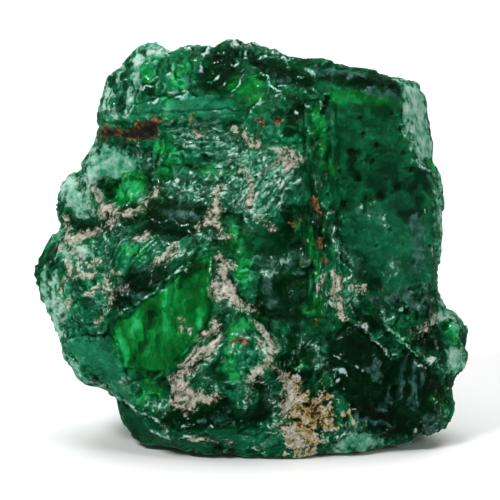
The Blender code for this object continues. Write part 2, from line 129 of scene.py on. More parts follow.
# A point's height over the middle of its surroundings tells ridges and
# crevices: how wide the surroundings are, and the height of a full ridge.
RIDGE_ROUNDS = 3
RIDGE_HEIGHT = 0.035
EDGE_ROUNDS = 10
EDGE_HEIGHT = 0.09

EMERALD_IOR = 1.58
EMERALD_SHEEN = (0.06, 0.25, 0.13, 1.0)
ABSORPTION_COLOUR = (0.0, 0.667, 0.4)
ABSORPTION_PER_METRE = 620.0

# Colours along each finish's own pattern.
BODY_STOPS = (
    (0.15, (0.0003, 0.005, 0.002)), (0.35, (0.0008, 0.028, 0.008)), (0.5, (0.0015, 0.07, 0.021)),
    (0.65, (0.003, 0.15, 0.05)), (0.8, (0.012, 0.27, 0.12)), (1.0, (0.16, 0.5, 0.33)),
)
# Colours of the painted glow of light from within the stone.
PAINTED_GLOW_STOPS = (
    (0.2, (0.0003, 0.01, 0.001)), (0.4, (0.0006, 0.06, 0.007)), (0.6, (0.001, 0.16, 0.02)),
    (0.8, (0.004, 0.32, 0.06)), (1.0, (0.03, 0.52, 0.18)),
)
TEAL_STOPS = (
    (0.25, (0.001, 0.045, 0.016)), (0.5, (0.003, 0.115, 0.042)), (0.75, (0.01, 0.2, 0.09)),
    (1.0, (0.1, 0.42, 0.27)),
)
CRYSTAL_STOPS = (
    (0.2, (0.1, 0.42, 0.22)), (0.5, (0.4, 0.85, 0.6)), (0.85, (0.8, 1.0, 0.9)),
)
PALE_STOPS = (
    (0.15, (0.003, 0.1, 0.035)), (0.4, (0.025, 0.25, 0.11)), (0.6, (0.13, 0.42, 0.27)),
    (0.9, (0.48, 0.7, 0.6)),
)
FROST_STOPS = (
    (0.15, (0.003, 0.07, 0.03)), (0.4, (0.03, 0.2, 0.11)), (0.62, (0.14, 0.36, 0.25)),
    (0.95, (0.6, 0.72, 0.64)),
)
IRON_STOPS = (
    (0.2, (0.006, 0.005, 0.004)), (0.45, (0.026, 0.016, 0.008)), (0.7, (0.11, 0.042, 0.012)),
    (0.95, (0.3, 0.17, 0.07)),
)
OCHRE_STOPS = (
    (0.2, (0.006, 0.02, 0.01)), (0.36, (0.09, 0.05, 0.018)), (0.5, (0.32, 0.19, 0.04)),
    (0.62, (0.5, 0.37, 0.12)), (0.74, (0.3, 0.29, 0.22)), (0.95, (0.58, 0.56, 0.5)),
)
CLAY_STOPS = (
    (0.15, (0.015, 0.045, 0.02)), (0.35, (0.12, 0.14, 0.09)), (0.55, (0.34, 0.33, 0.255)),
    (0.75, (0.48, 0.45, 0.375)), (1.0, (0.68, 0.65, 0.58)),
)
# Colours of the painted reflection on smooth breaks.
GLEAM_STOPS = (
    (0.25, (0.003, 0.035, 0.02)), (0.5, (0.014, 0.075, 0.055)), (0.8, (0.08, 0.17, 0.15)),
)
# Colours of the painted glint on the crests.
PAINTED_GLINT_STOPS = (
    (0.3, (0.01, 0.16, 0.08)), (0.5, (0.1, 0.38, 0.26)), (0.72, (0.5, 0.68, 0.64)),
)

# The studio. Each light: name, place (across, back, height), size, brightness
# and whether the stone mirrors it. The floor isn't mirrored either, so the
# stone's dark hollows stay dark.
STONE_MIDDLE = 10.0
FLOOR_SIZE = 3000.0
FLOOR_DROP = 0.02
AIR_BRIGHTNESS = 0.12
LIGHTS = (
    ("key light", (-150.0, -170.0, 240.0), 90.0, 26.0, True),
    ("fill light", (240.0, -160.0, 140.0), 100.0, 5.0, True),
    ("top light", (10.0, 60.0, 300.0), 280.0, 3.6, False),
    ("back light", (60.0, 280.0, 160.0), 220.0, 1.8, False),
)


def in_space(place):
    """The position in metres of an (across, up, forward) place."""
    across, up, forward = place
    forward = forward - FOOT_FORWARD
    back = up * math.sin(VIEW_TILT) - forward * math.cos(VIEW_TILT) - BOX_MIDDLE[1]
    height = up * math.cos(VIEW_TILT) + forward * math.sin(VIEW_TILT)
    return Vector((across - BOX_MIDDLE[0], back, height)) * MM


def as_seen(positions):
    """The (across, up, forward) places of an array of positions in metres."""
    across = positions[:, 0] / MM + BOX_MIDDLE[0]
    back = positions[:, 1] / MM + BOX_MIDDLE[1]
    height = positions[:, 2] / MM
    up = back * math.sin(VIEW_TILT) + height * math.cos(VIEW_TILT)
    forward = height * math.sin(VIEW_TILT) - back * math.cos(VIEW_TILT) + FOOT_FORWARD
    return np.stack([across, up, forward], axis=1)


# Marks on the front. A mark is a list of patches and strokes: a patch is an
# outline of (across, up) corners, and a stroke has a half width with each point.
FRONT = {
    # Clay packed into cracks and left on broken ground.
    "clay": (
        ((-1.65, 10.4, 0.05), (-1.5, 9.9, 0.2), (-1.4, 9.4, 0.22), (-1.2, 9.0, 0.3), (-1.15, 8.6, 0.36),
         (-0.9, 8.2, 0.26), (-0.7, 7.8, 0.18), (-0.3, 7.6, 0.16), (0.15, 7.5, 0.12)),
        ((-1.6, 8.9, 0.12), (-1.7, 8.3, 0.18), (-1.6, 7.9, 0.08)),
        ((-0.85, 9.7, 0.07), (-0.7, 9.4, 0.08)),
        ((-1.8, 6.9, 0.1), (-1.75, 6.4, 0.14), (-2.3, 6.2, 0.16)),
        ((-1.5, 6.0, 0.08), (-1.9, 5.6, 0.2), (-2.4, 5.25, 0.26), (-2.9, 4.95, 0.24), (-3.3, 4.6, 0.14)),
        ((-2.5, 6.0, 0.14), (-2.3, 5.6, 0.1)),
        ((-2.6, 4.6, 0.08), (-3.0, 4.35, 0.14), (-3.6, 4.2, 0.16)),
        ((-3.9, 4.1), (-3.2, 4.0), (-2.8, 3.6), (-2.0, 3.25), (-1.4, 3.1), (-2.4, 2.8), (-2.9, 2.45),
         (-3.2, 2.2), (-3.6, 2.5), (-4.0, 2.75), (-3.8, 3.4)),
        ((0.15, 6.9, 0.04), (0.5, 6.4, 0.1), (0.85, 6.05, 0.16), (1.2, 5.65, 0.22), (1.45, 5.6, 0.06)),
        ((1.2, 5.5, 0.18), (1.0, 5.1, 0.12), (0.7, 4.75, 0.14), (0.3, 4.4, 0.13), (0.0, 4.0, 0.06),
         (-0.1, 3.5, 0.05)),
        ((0.5, 4.2, 0.06), (0.1, 3.6, 0.05), (-0.2, 3.0, 0.05)),
        ((0.4, 5.9, 0.16), (0.6, 5.6, 0.1)),
        ((0.9, 4.8, 0.05), (1.3, 4.4, 0.09), (1.6, 4.0, 0.18), (2.0, 3.6, 0.26), (2.1, 3.1, 0.24),
         (1.7, 2.5, 0.22)),
        ((1.7, 1.6, 0.22), (2.2, 1.2, 0.3), (2.6, 0.7, 0.24), (2.0, 0.6, 0.14)),
        ((-1.1, 13.5, 0.06), (-1.5, 13.3, 0.1), (-1.6, 12.8, 0.14), (-1.5, 12.3, 0.26), (-1.8, 12.0, 0.28),
         (-2.3, 11.75, 0.14), (-2.6, 11.55, 0.06)),
        ((-1.65, 11.6, 0.1), (-1.5, 11.3, 0.09), (-1.3, 11.05, 0.06), (-1.0, 11.0, 0.04)),
        ((0.6, 14.1, 0.1), (0.9, 14.3, 0.1), (1.3, 14.6, 0.12), (1.6, 14.9, 0.2), (1.9, 14.5, 0.22),
         (2.1, 14.75, 0.18), (2.5, 14.9, 0.1)),
        ((1.3, 15.3, 0.1), (1.8, 15.25, 0.2), (2.1, 15.1, 0.1)),
        ((-0.5, 14.6, 0.1), (-0.2, 14.0, 0.14), (0.1, 13.4, 0.12), (-0.05, 12.8, 0.14), (-0.1, 12.4, 0.08)),
        ((-0.9, 16.4, 0.08), (-0.5, 16.2, 0.12), (-0.2, 15.9, 0.2), (0.3, 15.7, 0.12), (0.8, 15.3, 0.08)),
        ((-2.5, 16.1, 0.08), (-2.2, 16.1, 0.06)),
        ((1.1, 11.45, 0.1), (0.7, 11.8, 0.08), (0.4, 12.05, 0.05)),
        ((-3.7, 10.7, 0.07), (-3.85, 10.35, 0.12), (-4.2, 10.05, 0.1), (-4.7, 9.7, 0.03)),
        ((-5.75, 11.0, 0.12), (-5.3, 11.1, 0.15), (-5.1, 11.2, 0.06)),
        ((-4.5, 13.35, 0.1), (-4.8, 13.0, 0.12), (-5.1, 12.7, 0.13), (-5.5, 12.4, 0.15), (-6.0, 12.15, 0.12),
         (-6.5, 12.2, 0.18), (-6.9, 12.4, 0.2), (-7.3, 12.6, 0.16), (-7.6, 13.0, 0.14), (-7.8, 13.5, 0.1)),
        ((-6.7, 12.0, 0.14), (-6.85, 11.6, 0.12)),
        ((-7.6, 12.4, 0.12), (-7.2, 12.2, 0.1)),
        ((-9.3, 10.8, 0.1), (-9.0, 11.0, 0.18), (-8.5, 11.1, 0.2), (-8.0, 11.2, 0.18), (-7.3, 11.35, 0.12)),
        ((-9.7, 10.45, 0.04), (-9.2, 10.5, 0.08), (-8.8, 10.5, 0.1), (-8.6, 10.2, 0.12), (-8.5, 9.8, 0.08)),
        ((-9.25, 12.0, 0.06), (-9.1, 11.6, 0.08), (-9.1, 11.2, 0.1)),
        ((-9.0, 9.7, 0.14), (-8.95, 9.3, 0.14), (-8.5, 9.3, 0.08), (-7.9, 9.1, 0.14), (-7.7, 9.3, 0.06)),
        ((-8.0, 9.6, 0.05), (-7.6, 9.9, 0.06)),
        ((-9.3, 8.95, 0.12), (-9.35, 8.7, 0.1), (-9.5, 8.3, 0.08)),
        ((-9.05, 7.85, 0.08), (-9.25, 7.4, 0.06)),
        ((-6.85, 9.4, 0.1), (-6.5, 9.35, 0.06)),
        ((-7.0, 9.05, 0.1), (-7.1, 8.7, 0.08), (-7.15, 8.3, 0.08)),
        ((-6.85, 8.3, 0.06), (-7.0, 7.7, 0.1), (-7.3, 7.2, 0.1), (-7.6, 6.8, 0.08)),
        ((-6.9, 8.45, 0.05), (-6.4, 8.5, 0.04), (-5.9, 8.5, 0.03)),
        ((-7.5, 8.5, 0.05), (-8.0, 8.25, 0.04)),
        ((-3.0, 1.1, 0.05), (-2.3, 1.0, 0.09), (-1.7, 0.85, 0.12), (-1.0, 0.85, 0.05)),
        ((-4.5, 1.8, 0.05), (-4.2, 1.55, 0.05)),
        ((-6.4, 3.85, 0.04), (-6.1, 3.75, 0.07)),
        ((4.1, 9.3, 0.08), (4.3, 9.0, 0.2), (4.3, 8.6, 0.2), (4.0, 8.4, 0.14), (4.3, 8.0, 0.1),
         (4.4, 7.6, 0.2), (4.5, 7.1, 0.14), (4.75, 6.9, 0.06)),
        ((5.1, 8.5, 0.08), (5.6, 8.45, 0.1)),
        ((3.55, 9.2, 0.08), (3.5, 8.8, 0.08), (3.3, 8.4, 0.08)),
        ((8.0, 6.3, 0.06), (8.5, 6.3, 0.1), (9.1, 6.75, 0.1), (9.2, 7.1, 0.06)),
        ((-3.45, 6.95, 0.05), (-3.4, 6.4, 0.08), (-3.1, 6.4, 0.06)),
        ((5.3, 6.6, 0.08), (5.6, 6.5, 0.1)),
    ),
    # Iron stain along a ledge, and its nearly black middle.
    "iron": (
        ((-7.6, 16.3), (-7.2, 16.5), (-6.6, 16.5), (-6.3, 16.4), (-5.8, 16.6), (-5.0, 16.9),
         (-4.5, 17.1), (-4.25, 17.05), (-4.5, 16.6), (-4.55, 16.1), (-4.8, 15.8), (-5.2, 15.9),
         (-6.0, 16.0), (-6.6, 16.1), (-7.1, 15.9), (-7.4, 16.0)),
        ((0.3, 16.85, 0.1), (0.55, 16.8, 0.14), (0.45, 16.4, 0.14), (0.3, 16.05, 0.06)),
        ((1.1, 16.95, 0.1), (1.4, 16.75, 0.14)),
        ((-3.0, 16.9, 0.05), (-2.75, 16.75, 0.1)),
        ((-2.5, 16.3, 0.06), (-2.3, 16.15, 0.05)),
        ((3.1, 12.8, 0.1), (3.2, 12.2, 0.12)),
        ((3.4, 11.0, 0.08), (3.5, 10.0, 0.1), (4.0, 9.6, 0.08)),
        ((2.1, 11.8, 0.08), (2.4, 11.8, 0.06)),
        ((3.2, 6.75, 0.1), (3.25, 6.5, 0.08)),
        ((-0.9, 5.8, 0.06), (-0.5, 6.0, 0.12), (-0.2, 5.9, 0.06)),
        ((6.5, 8.7, 0.06), (6.55, 8.5, 0.08)),
    ),
    "iron_core": (
        ((-6.3, 16.25, 0.12), (-5.5, 16.2, 0.16), (-4.9, 16.3, 0.26), (-4.65, 16.5, 0.16)),
        ((0.45, 16.7, 0.08), (0.4, 16.4, 0.06)),
    ),
    # Sandy rust over the foot of the crack.
    "ochre": (
        ((2.3, 3.7), (2.9, 3.4), (3.5, 3.3), (4.0, 2.9), (4.2, 2.2), (4.1, 1.7), (3.4, 1.5), (3.3, 1.0),
         (2.9, 0.5), (2.3, 0.4), (2.0, 1.2), (2.1, 2.2), (2.0, 3.0)),
        ((1.9, 3.9, 0.14), (2.3, 3.4, 0.2)),
        ((4.6, 2.3, 0.08), (4.9, 2.3, 0.05)),
    ),
    # Ground that broke in tiny scales, pale with trapped air.
    "frost": (
        ((-3.8, 16.5), (-1.8, 16.9), (-0.8, 16.2), (0.2, 15.6), (1.2, 15.5), (2.4, 14.4), (2.7, 13.6),
         (1.5, 12.6), (0.8, 11.7), (0.2, 11.2), (-0.2, 12.0), (-1.0, 12.4), (-1.4, 13.2), (-2.0, 12.9),
         (-3.4, 12.8), (-4.0, 13.0), (-4.4, 13.6), (-3.6, 14.1), (-2.0, 14.3), (-1.6, 15.0), (-3.6, 15.5)),
        ((-7.3, 11.4, 0.2), (-7.1, 10.6, 0.34), (-7.2, 9.8, 0.3), (-7.1, 9.0, 0.15)),
        ((-6.6, 11.5, 0.3), (-6.3, 10.9, 0.3), (-5.8, 10.6, 0.2), (-5.2, 10.9, 0.14)),
        ((-4.9, 10.6, 0.14), (-4.4, 10.2, 0.16), (-3.9, 10.0, 0.12), (-3.4, 10.2, 0.14), (-2.9, 10.3, 0.08)),
        ((-2.8, 11.1, 0.2), (-2.2, 11.2, 0.18), (-2.0, 10.9, 0.12)),
        ((-8.7, 9.8, 0.3), (-8.3, 9.4, 0.25), (-8.9, 9.0, 0.2), (-9.3, 8.4, 0.16), (-9.1, 7.8, 0.14),
         (-9.2, 7.2, 0.12)),
        ((-9.3, 6.8, 0.14), (-8.7, 6.8, 0.12), (-8.4, 7.0, 0.08)),
        ((-7.8, 8.2, 0.1), (-7.4, 7.6, 0.12)),
        ((-6.4, 8.9, 0.12), (-6.3, 8.5, 0.1)),
        ((-1.6, 9.1, 0.3), (-1.4, 8.0, 0.36), (-1.3, 7.4, 0.34), (-0.8, 7.3, 0.3)),
        ((-1.6, 6.2, 0.16), (-1.5, 5.5, 0.16)),
        ((-0.8, 5.6, 0.3), (-0.5, 6.2, 0.3), (0.4, 5.8, 0.3), (0.7, 5.4, 0.2)),
        ((0.2, 4.3, 0.2), (-0.4, 3.7, 0.2), (-0.3, 3.0, 0.12), (-0.3, 2.4, 0.08)),
        ((-2.5, 4.4, 0.2), (-1.9, 3.9, 0.22), (-1.6, 3.4, 0.1)),
        ((-5.0, 2.8, 0.2), (-4.6, 2.7, 0.22), (-4.2, 2.5, 0.1)),
        ((-6.8, 3.7, 0.1), (-5.7, 3.5, 0.1)),
        ((1.0, 3.6, 0.1), (1.2, 2.6, 0.3), (1.4, 1.8, 0.3), (0.9, 0.9, 0.2), (0.3, 0.5, 0.2)),
        ((3.4, 13.9, 0.14), (3.5, 13.5, 0.12)),
        ((4.2, 12.0, 0.12), (4.2, 11.2, 0.1), (4.4, 10.6, 0.12), (4.9, 10.2, 0.22), (5.2, 9.6, 0.16)),
        ((5.6, 12.5, 0.12), (5.9, 12.1, 0.12), (6.5, 12.2, 0.14), (6.7, 11.6, 0.1)),
        ((6.9, 9.8, 0.26), (7.2, 9.2, 0.26)),
        ((5.2, 9.0, 0.3), (4.9, 8.2, 0.3), (4.8, 7.4, 0.2)),
        ((8.6, 8.4, 0.2), (8.8, 8.0, 0.14)),
        ((6.1, 8.1, 0.14), (6.3, 7.6, 0.14), (6.5, 7.1, 0.18), (6.9, 6.6, 0.14)),
        ((3.6, 9.0, 0.16), (3.8, 8.2, 0.2), (3.8, 7.5, 0.16)),
        ((0.5, 9.6, 0.3), (1.2, 9.4, 0.4), (2.4, 10.1, 0.2), (2.9, 9.9, 0.2)),
        ((2.2, 5.2, 0.2), (2.5, 6.0, 0.18), (3.4, 5.3, 0.2), (3.6, 4.5, 0.2)),
        ((8.7, 5.0, 0.2), (9.3, 4.9, 0.12)),
        ((9.3, 2.4, 0.2), (9.5, 1.6, 0.2)),
        ((3.6, 1.0, 0.4), (4.6, 1.5, 0.3), (5.2, 1.7, 0.2), (5.6, 1.3, 0.1)),
        ((-4.3, 16.9, 0.1), (-3.4, 16.7, 0.2)),
        ((-5.4, 15.5, 0.16), (-5.0, 14.9, 0.2), (-4.7, 14.2, 0.16)),
        ((-1.0, 20.6, 0.14), (0.0, 20.5, 0.2), (1.0, 20.1, 0.2), (1.8, 19.9, 0.16)),
        ((-3.8, 20.4, 0.12), (-2.9, 20.4, 0.16), (-2.2, 20.3, 0.16)),
    ),
    # Milky, paler green: veils in the stone, and painted light where the stone is thin.
    "pale": (
        ((7.1, 18.95), (7.8, 18.85), (8.5, 18.7), (8.85, 18.1), (8.95, 17.0), (9.3, 15.7), (9.2, 14.9),
         (9.1, 14.1), (8.7, 14.3), (8.3, 14.9), (8.0, 15.4), (7.75, 16.5), (7.6, 17.6)),
        ((9.3, 14.2, 0.14), (9.5, 13.2, 0.1)),
        ((-5.5, 20.0, 0.2), (-5.6, 19.2, 0.34), (-5.7, 18.5, 0.3)),
        ((-6.35, 19.7, 0.16), (-6.45, 18.8, 0.28), (-6.5, 18.2, 0.2)),
        ((-6.1, 18.4, 0.18), (-6.2, 17.7, 0.26), (-6.1, 17.2, 0.2)),
        ((-7.1, 19.5, 0.24), (-7.1, 18.9, 0.28), (-6.95, 18.2, 0.22)),
        ((-6.9, 17.6, 0.16), (-6.8, 17.2, 0.2)),
        ((-5.4, 20.4, 0.2), (-4.9, 20.5, 0.2), (-4.45, 20.45, 0.2), (-4.3, 20.1, 0.1)),
        ((-4.9, 20.0, 0.1), (-5.1, 19.6, 0.06)),
        ((-7.9, 15.3), (-7.3, 15.7), (-6.4, 15.4), (-5.3, 14.9), (-4.9, 14.1), (-5.0, 13.4), (-5.5, 12.8),
         (-6.6, 12.4), (-7.3, 12.6), (-7.8, 13.4), (-8.4, 13.9), (-8.2, 14.7)),
        ((-9.5, 13.6), (-9.0, 14.2), (-8.5, 14.0), (-8.1, 13.2), (-8.0, 12.4), (-8.6, 12.1), (-9.2, 12.3)),
        ((-8.0, 12.3, 0.2), (-7.4, 11.9, 0.2)),
        ((-9.7, 11.2, 0.2), (-9.1, 10.2, 0.3), (-8.0, 10.2, 0.3), (-7.8, 11.2, 0.2)),
        ((-9.8, 8.9, 0.3), (-9.9, 8.2, 0.2), (-9.6, 7.4, 0.14)),
        ((-8.1, 10.6, 0.1), (-8.2, 10.2, 0.12)),
        ((-10.1, 9.9, 0.16), (-10.4, 9.0, 0.2), (-10.1, 8.0, 0.2), (-9.8, 7.0, 0.2), (-9.5, 5.8, 0.16)),
        ((-7.9, 19.0, 0.2), (-7.7, 17.8, 0.14)),
        ((9.3, 13.8, 0.16), (9.6, 12.4, 0.3), (9.6, 10.6, 0.34), (9.6, 8.8, 0.3), (9.8, 7.9, 0.2)),
        ((-9.2, 4.85), (-8.4, 4.35), (-7.6, 3.75), (-6.9, 3.35), (-7.4, 3.3), (-8.3, 3.5), (-8.7, 3.9)),
        ((4.2, 0.35), (4.5, 1.0), (5.1, 1.3), (5.8, 1.3), (6.6, 1.0), (6.8, 0.6), (5.6, 0.3)),
        ((9.5, 7.0, 0.3), (9.9, 7.4, 0.36), (10.5, 7.2, 0.36), (10.8, 6.5, 0.3)),
        ((9.6, 5.5), (10.2, 5.7), (10.7, 5.6), (10.9, 4.6), (10.4, 4.2), (9.8, 4.1)),
        ((6.4, 7.3, 0.1), (6.65, 6.9, 0.16), (6.95, 6.5, 0.12)),
        ((-4.9, 2.9, 0.12), (-4.6, 2.6, 0.14)),
        ((-2.1, 4.0, 0.06), (-1.8, 3.75, 0.12), (-1.6, 3.4, 0.08)),
        ((3.1, 19.1, 0.08), (3.3, 18.95, 0.12), (3.6, 18.95, 0.06)),
    ),
    # Pure bright green, a painted glow of light from within.
    "vivid": (
        ((-1.9, 10.3), (-2.6, 9.9), (-3.8, 9.1), (-5.0, 8.0), (-6.1, 7.1), (-6.8, 6.5), (-6.9, 5.6),
         (-6.4, 4.6), (-5.6, 4.2), (-4.3, 4.2), (-3.4, 4.7), (-2.7, 5.8), (-1.9, 7.0), (-1.8, 8.6)),
        ((0.1, 6.8, 0.2), (-0.7, 6.6, 0.4), (-1.0, 5.2, 0.3), (-0.8, 4.2, 0.36)),
        ((-7.3, 13.3), (-6.9, 14.0), (-6.3, 14.3), (-5.5, 14.5), (-5.1, 14.0), (-5.2, 13.4), (-5.7, 12.8),
         (-6.4, 12.55), (-7.0, 12.75)),
        ((-4.7, 15.6, 0.3), (-4.2, 15.2, 0.4), (-3.7, 15.3, 0.2), (-4.2, 14.2, 0.3)),
        ((-5.2, 19.4, 0.24), (-5.0, 18.9, 0.3)),
        ((-3.3, 19.6, 0.2), (-3.5, 19.0, 0.4), (-3.5, 18.6, 0.34)),
        ((-4.1, 17.8, 0.2), (-4.0, 17.2, 0.26)),
        ((-0.8, 18.5, 0.4), (0.2, 18.3, 0.6), (0.5, 17.6, 0.3)),
        ((10.0, 6.4, 0.34), (10.15, 5.9, 0.26)),
        ((3.0, 11.3, 0.12), (3.15, 10.2, 0.2), (3.1, 9.2, 0.14)),
        ((3.2, 17.2, 0.3), (3.5, 16.0, 0.24), (3.6, 15.0, 0.2), (4.2, 14.2, 0.14)),
        ((3.2, 8.2, 0.26), (3.4, 7.6, 0.3), (2.8, 7.3, 0.2)),
        ((8.9, 14.8, 0.2), (9.0, 14.4, 0.14)),
        ((-0.9, 11.3, 0.2), (-0.6, 10.7, 0.36), (-0.3, 9.8, 0.3), (-0.3, 8.8, 0.24)),
        ((-2.4, 14.4, 0.2), (-1.2, 14.2, 0.3), (-0.7, 14.3, 0.2)),
        ((4.2, 18.0, 0.4), (5.4, 18.0, 0.4), (6.4, 17.8, 0.3)),
        ((-5.0, 3.9, 0.3), (-4.6, 3.3, 0.3), (-5.2, 3.1, 0.2)),
        ((-6.1, 10.4, 0.3), (-5.4, 10.3, 0.3)),
        ((2.2, 4.4, 0.2), (2.6, 5.0, 0.2)),
        ((9.3, 3.2, 0.3), (9.4, 2.5, 0.3)),
    ),
    # Lighter green parts of the stone.
    "light": (
        ((-7.6, 17.4), (-7.4, 20.2), (-3.0, 20.9), (-2.6, 18.4), (-0.6, 17.2), (1.0, 17.4), (2.6, 15.4),
         (2.8, 13.2), (0.8, 11.6), (-1.4, 13.0), (-4.6, 13.0), (-5.2, 15.6), (-7.6, 16.2)),
        ((-10.4, 9.6), (-9.4, 11.4), (-7.4, 11.2), (-5.0, 10.8), (-2.4, 10.8), (-2.0, 9.9), (-4.2, 10.0),
         (-6.6, 8.8), (-7.0, 6.4), (-5.2, 3.0), (-6.4, 2.9), (-9.4, 5.2), (-9.9, 7.4)),
        ((-3.0, 4.9), (-1.2, 7.0), (0.6, 6.8), (1.2, 5.4), (0.0, 2.8), (-2.6, 3.6)),
        ((-5.4, 3.4), (-4.0, 3.2), (-3.8, 2.3), (-5.0, 2.1)),
        ((-1.0, 11.4), (0.2, 10.4), (0.4, 8.0), (-0.4, 8.2)),
        ((9.2, 7.2), (10.4, 7.2), (10.8, 4.6), (9.4, 4.4)),
        ((7.5, 19.2), (9.2, 18.8), (9.9, 15.0), (9.4, 13.4), (8.0, 14.9)),
        ((-9.9, 14.2), (-7.6, 15.6), (-7.2, 12.0), (-9.6, 10.6)),
    ),
    # Painted reflection of the room on smooth breaks, greyish green.
    "gleam": (
        ((5.7, 4.5, 0.12), (6.15, 4.3, 0.26), (6.35, 3.9, 0.1)),
        ((7.0, 3.5, 0.1), (6.8, 2.9, 0.18), (6.6, 2.4, 0.08)),
        ((7.8, 5.1, 0.08), (7.6, 4.2, 0.18), (7.4, 3.1, 0.08)),
        ((8.2, 4.9, 0.06), (8.1, 4.0, 0.16), (7.9, 2.8, 0.06)),
        ((8.6, 4.4, 0.06), (8.4, 3.5, 0.12), (8.2, 2.6, 0.05)),
        ((5.2, 2.3, 0.06), (6.0, 1.85, 0.1), (7.0, 1.6, 0.05)),
        ((8.7, 2.0, 0.1), (9.0, 1.5, 0.26)),
        ((5.5, 5.2, 0.06), (6.0, 5.0, 0.14), (6.3, 4.8, 0.05)),
        ((1.0, 9.3, 0.1), (0.8, 8.5, 0.2), (1.0, 7.7, 0.1)),
        ((1.6, 10.0, 0.1), (2.0, 9.6, 0.18), (2.5, 9.4, 0.1)),
        ((-3.3, 19.2, 0.1), (-3.0, 18.8, 0.16)),
        ((1.4, 19.0, 0.12), (2.0, 18.7, 0.14), (2.5, 18.4, 0.06)),
        ((3.2, 19.25, 0.12), (4.4, 19.15, 0.2), (5.6, 19.05, 0.12)),
        ((6.0, 18.2, 0.2), (7.0, 18.0, 0.2)),
        ((-4.2, 12.4, 0.1), (-3.2, 12.2, 0.2), (-2.7, 12.0, 0.1)),
        ((-8.8, 8.4, 0.08), (-8.0, 8.0, 0.14), (-7.6, 7.6, 0.08)),
        ((-6.2, 8.3, 0.1), (-5.4, 8.2, 0.14)),
        ((-5.6, 9.4, 0.1), (-4.9, 9.6, 0.16)),
        ((-2.4, 2.0, 0.1), (-1.4, 2.1, 0.2), (-0.8, 1.8, 0.1)),
        ((8.2, 12.0, 0.3), (8.4, 10.4, 0.3), (8.2, 9.4, 0.2)),
        ((6.8, 7.9, 0.2), (7.6, 8.2, 0.3), (8.4, 7.6, 0.2)),
    ),
    # Painted light: the brightest green inside the painted glow.
    "lit": (
        ((-6.5, 6.5, 0.1), (-6.3, 5.6, 0.34), (-6.1, 4.9, 0.2)),
        ((-4.0, 8.6, 0.1), (-4.1, 7.6, 0.3), (-4.1, 6.6, 0.2)),
        ((-5.9, 7.2, 0.1), (-5.6, 6.9, 0.24), (-5.8, 6.3, 0.16)),
        ((-2.6, 7.4, 0.26), (-2.5, 6.6, 0.2)),
        ((-6.4, 13.2, 0.3), (-5.8, 13.6, 0.4), (-5.5, 13.2, 0.3)),
        ((-3.5, 18.8, 0.2), (-3.4, 18.6, 0.2)),
        ((-4.1, 17.6, 0.1), (-4.0, 17.3, 0.14)),
        ((-3.7, 15.3, 0.14), (-3.5, 15.2, 0.1)),
        ((10.05, 6.5, 0.2), (10.1, 6.2, 0.14)),
        ((3.1, 10.1, 0.06), (3.1, 9.9, 0.08)),
    ),
    # Painted shade: nearly black green in deep hollows and under ledges.
    "dark": (
        ((4.7, 6.9), (5.4, 6.4), (6.2, 5.7), (7.0, 5.1), (7.9, 5.4), (8.6, 4.8), (9.3, 4.2), (9.7, 3.3),
         (9.6, 2.2), (9.0, 1.7), (8.2, 1.3), (6.8, 1.2), (5.8, 1.6), (5.2, 2.2), (4.6, 3.2), (4.0, 4.1),
         (3.6, 4.6), (3.9, 5.2), (3.9, 6.2)),
        ((5.8, 6.95, 0.12), (6.3, 6.6, 0.2), (6.9, 6.1, 0.12)),
        ((7.9, 5.8, 0.1), (8.6, 5.8, 0.16), (9.4, 5.8, 0.2), (9.5, 5.2, 0.1)),
        ((-2.5, 19.3), (-1.9, 20.1), (-1.0, 20.3), (-0.8, 19.4), (-0.9, 18.6), (-1.5, 18.2), (-2.3, 18.3),
         (-2.7, 18.8)),
        ((0.1, 20.0, 0.1), (0.6, 19.55, 0.26), (1.4, 19.2, 0.34), (2.3, 18.9, 0.3), (2.9, 18.6, 0.2)),
        ((-0.4, 20.6, 0.12), (0.2, 20.5, 0.1)),
        ((3.6, 18.9, 0.2), (5.2, 18.8, 0.22), (6.8, 18.6, 0.2), (7.3, 18.1, 0.12)),
        ((2.4, 17.6, 0.3), (2.2, 16.9, 0.3), (1.9, 16.2, 0.2)),
        ((-4.8, 18.6, 0.2), (-5.0, 18.25, 0.2)),
        ((-4.3, 19.7, 0.1), (-4.5, 19.2, 0.12)),
        ((-6.15, 20.0, 0.06), (-6.2, 19.2, 0.09), (-6.3, 18.6, 0.05)),
        ((-6.4, 18.2, 0.05), (-6.4, 17.4, 0.08)),
        ((-6.9, 18.9, 0.1), (-6.85, 18.6, 0.12)),
        ((-7.3, 13.8, 0.2), (-7.0, 13.4, 0.3), (-6.9, 12.9, 0.14)),
        ((-7.0, 14.1, 0.1), (-6.5, 13.9, 0.12)),
        ((-9.15, 12.3, 0.05), (-8.9, 11.9, 0.1), (-8.4, 11.6, 0.16), (-7.7, 11.55, 0.12)),
        ((-4.9, 12.7), (-4.0, 12.9), (-2.6, 12.7), (-2.3, 12.3), (-2.6, 11.7), (-3.0, 11.2), (-4.3, 11.0),
         (-5.0, 11.3), (-5.2, 12.0)),
        ((-4.1, 9.4), (-5.0, 8.6), (-6.0, 7.7), (-6.6, 7.5), (-6.6, 8.6), (-5.9, 9.5), (-4.8, 9.9)),
        ((-8.7, 9.0, 0.14), (-8.4, 8.8, 0.2)),
        ((-10.2, 9.9, 0.14), (-9.8, 9.8, 0.2)),
        ((-4.7, 7.5, 0.2), (-4.9, 6.9, 0.26), (-5.1, 6.2, 0.14), (-5.6, 5.4, 0.12), (-5.9, 4.8, 0.06)),
        ((-2.4, 9.6, 0.2), (-3.2, 9.1, 0.2), (-3.6, 8.6, 0.1)),
        ((-4.4, 2.2), (-3.6, 2.5), (-2.9, 2.3), (-1.9, 3.0), (-1.1, 3.1), (-0.9, 2.4), (-0.5, 1.7),
         (-2.0, 1.6), (-3.6, 1.6)),
        ((0.4, 3.8, 0.2), (0.8, 3.1, 0.36), (0.5, 2.2, 0.4), (-0.2, 1.9, 0.2)),
        ((-1.8, 5.9, 0.1), (-1.5, 6.6, 0.16)),
        ((-1.5, 5.0, 0.1), (-1.9, 4.8, 0.14)),
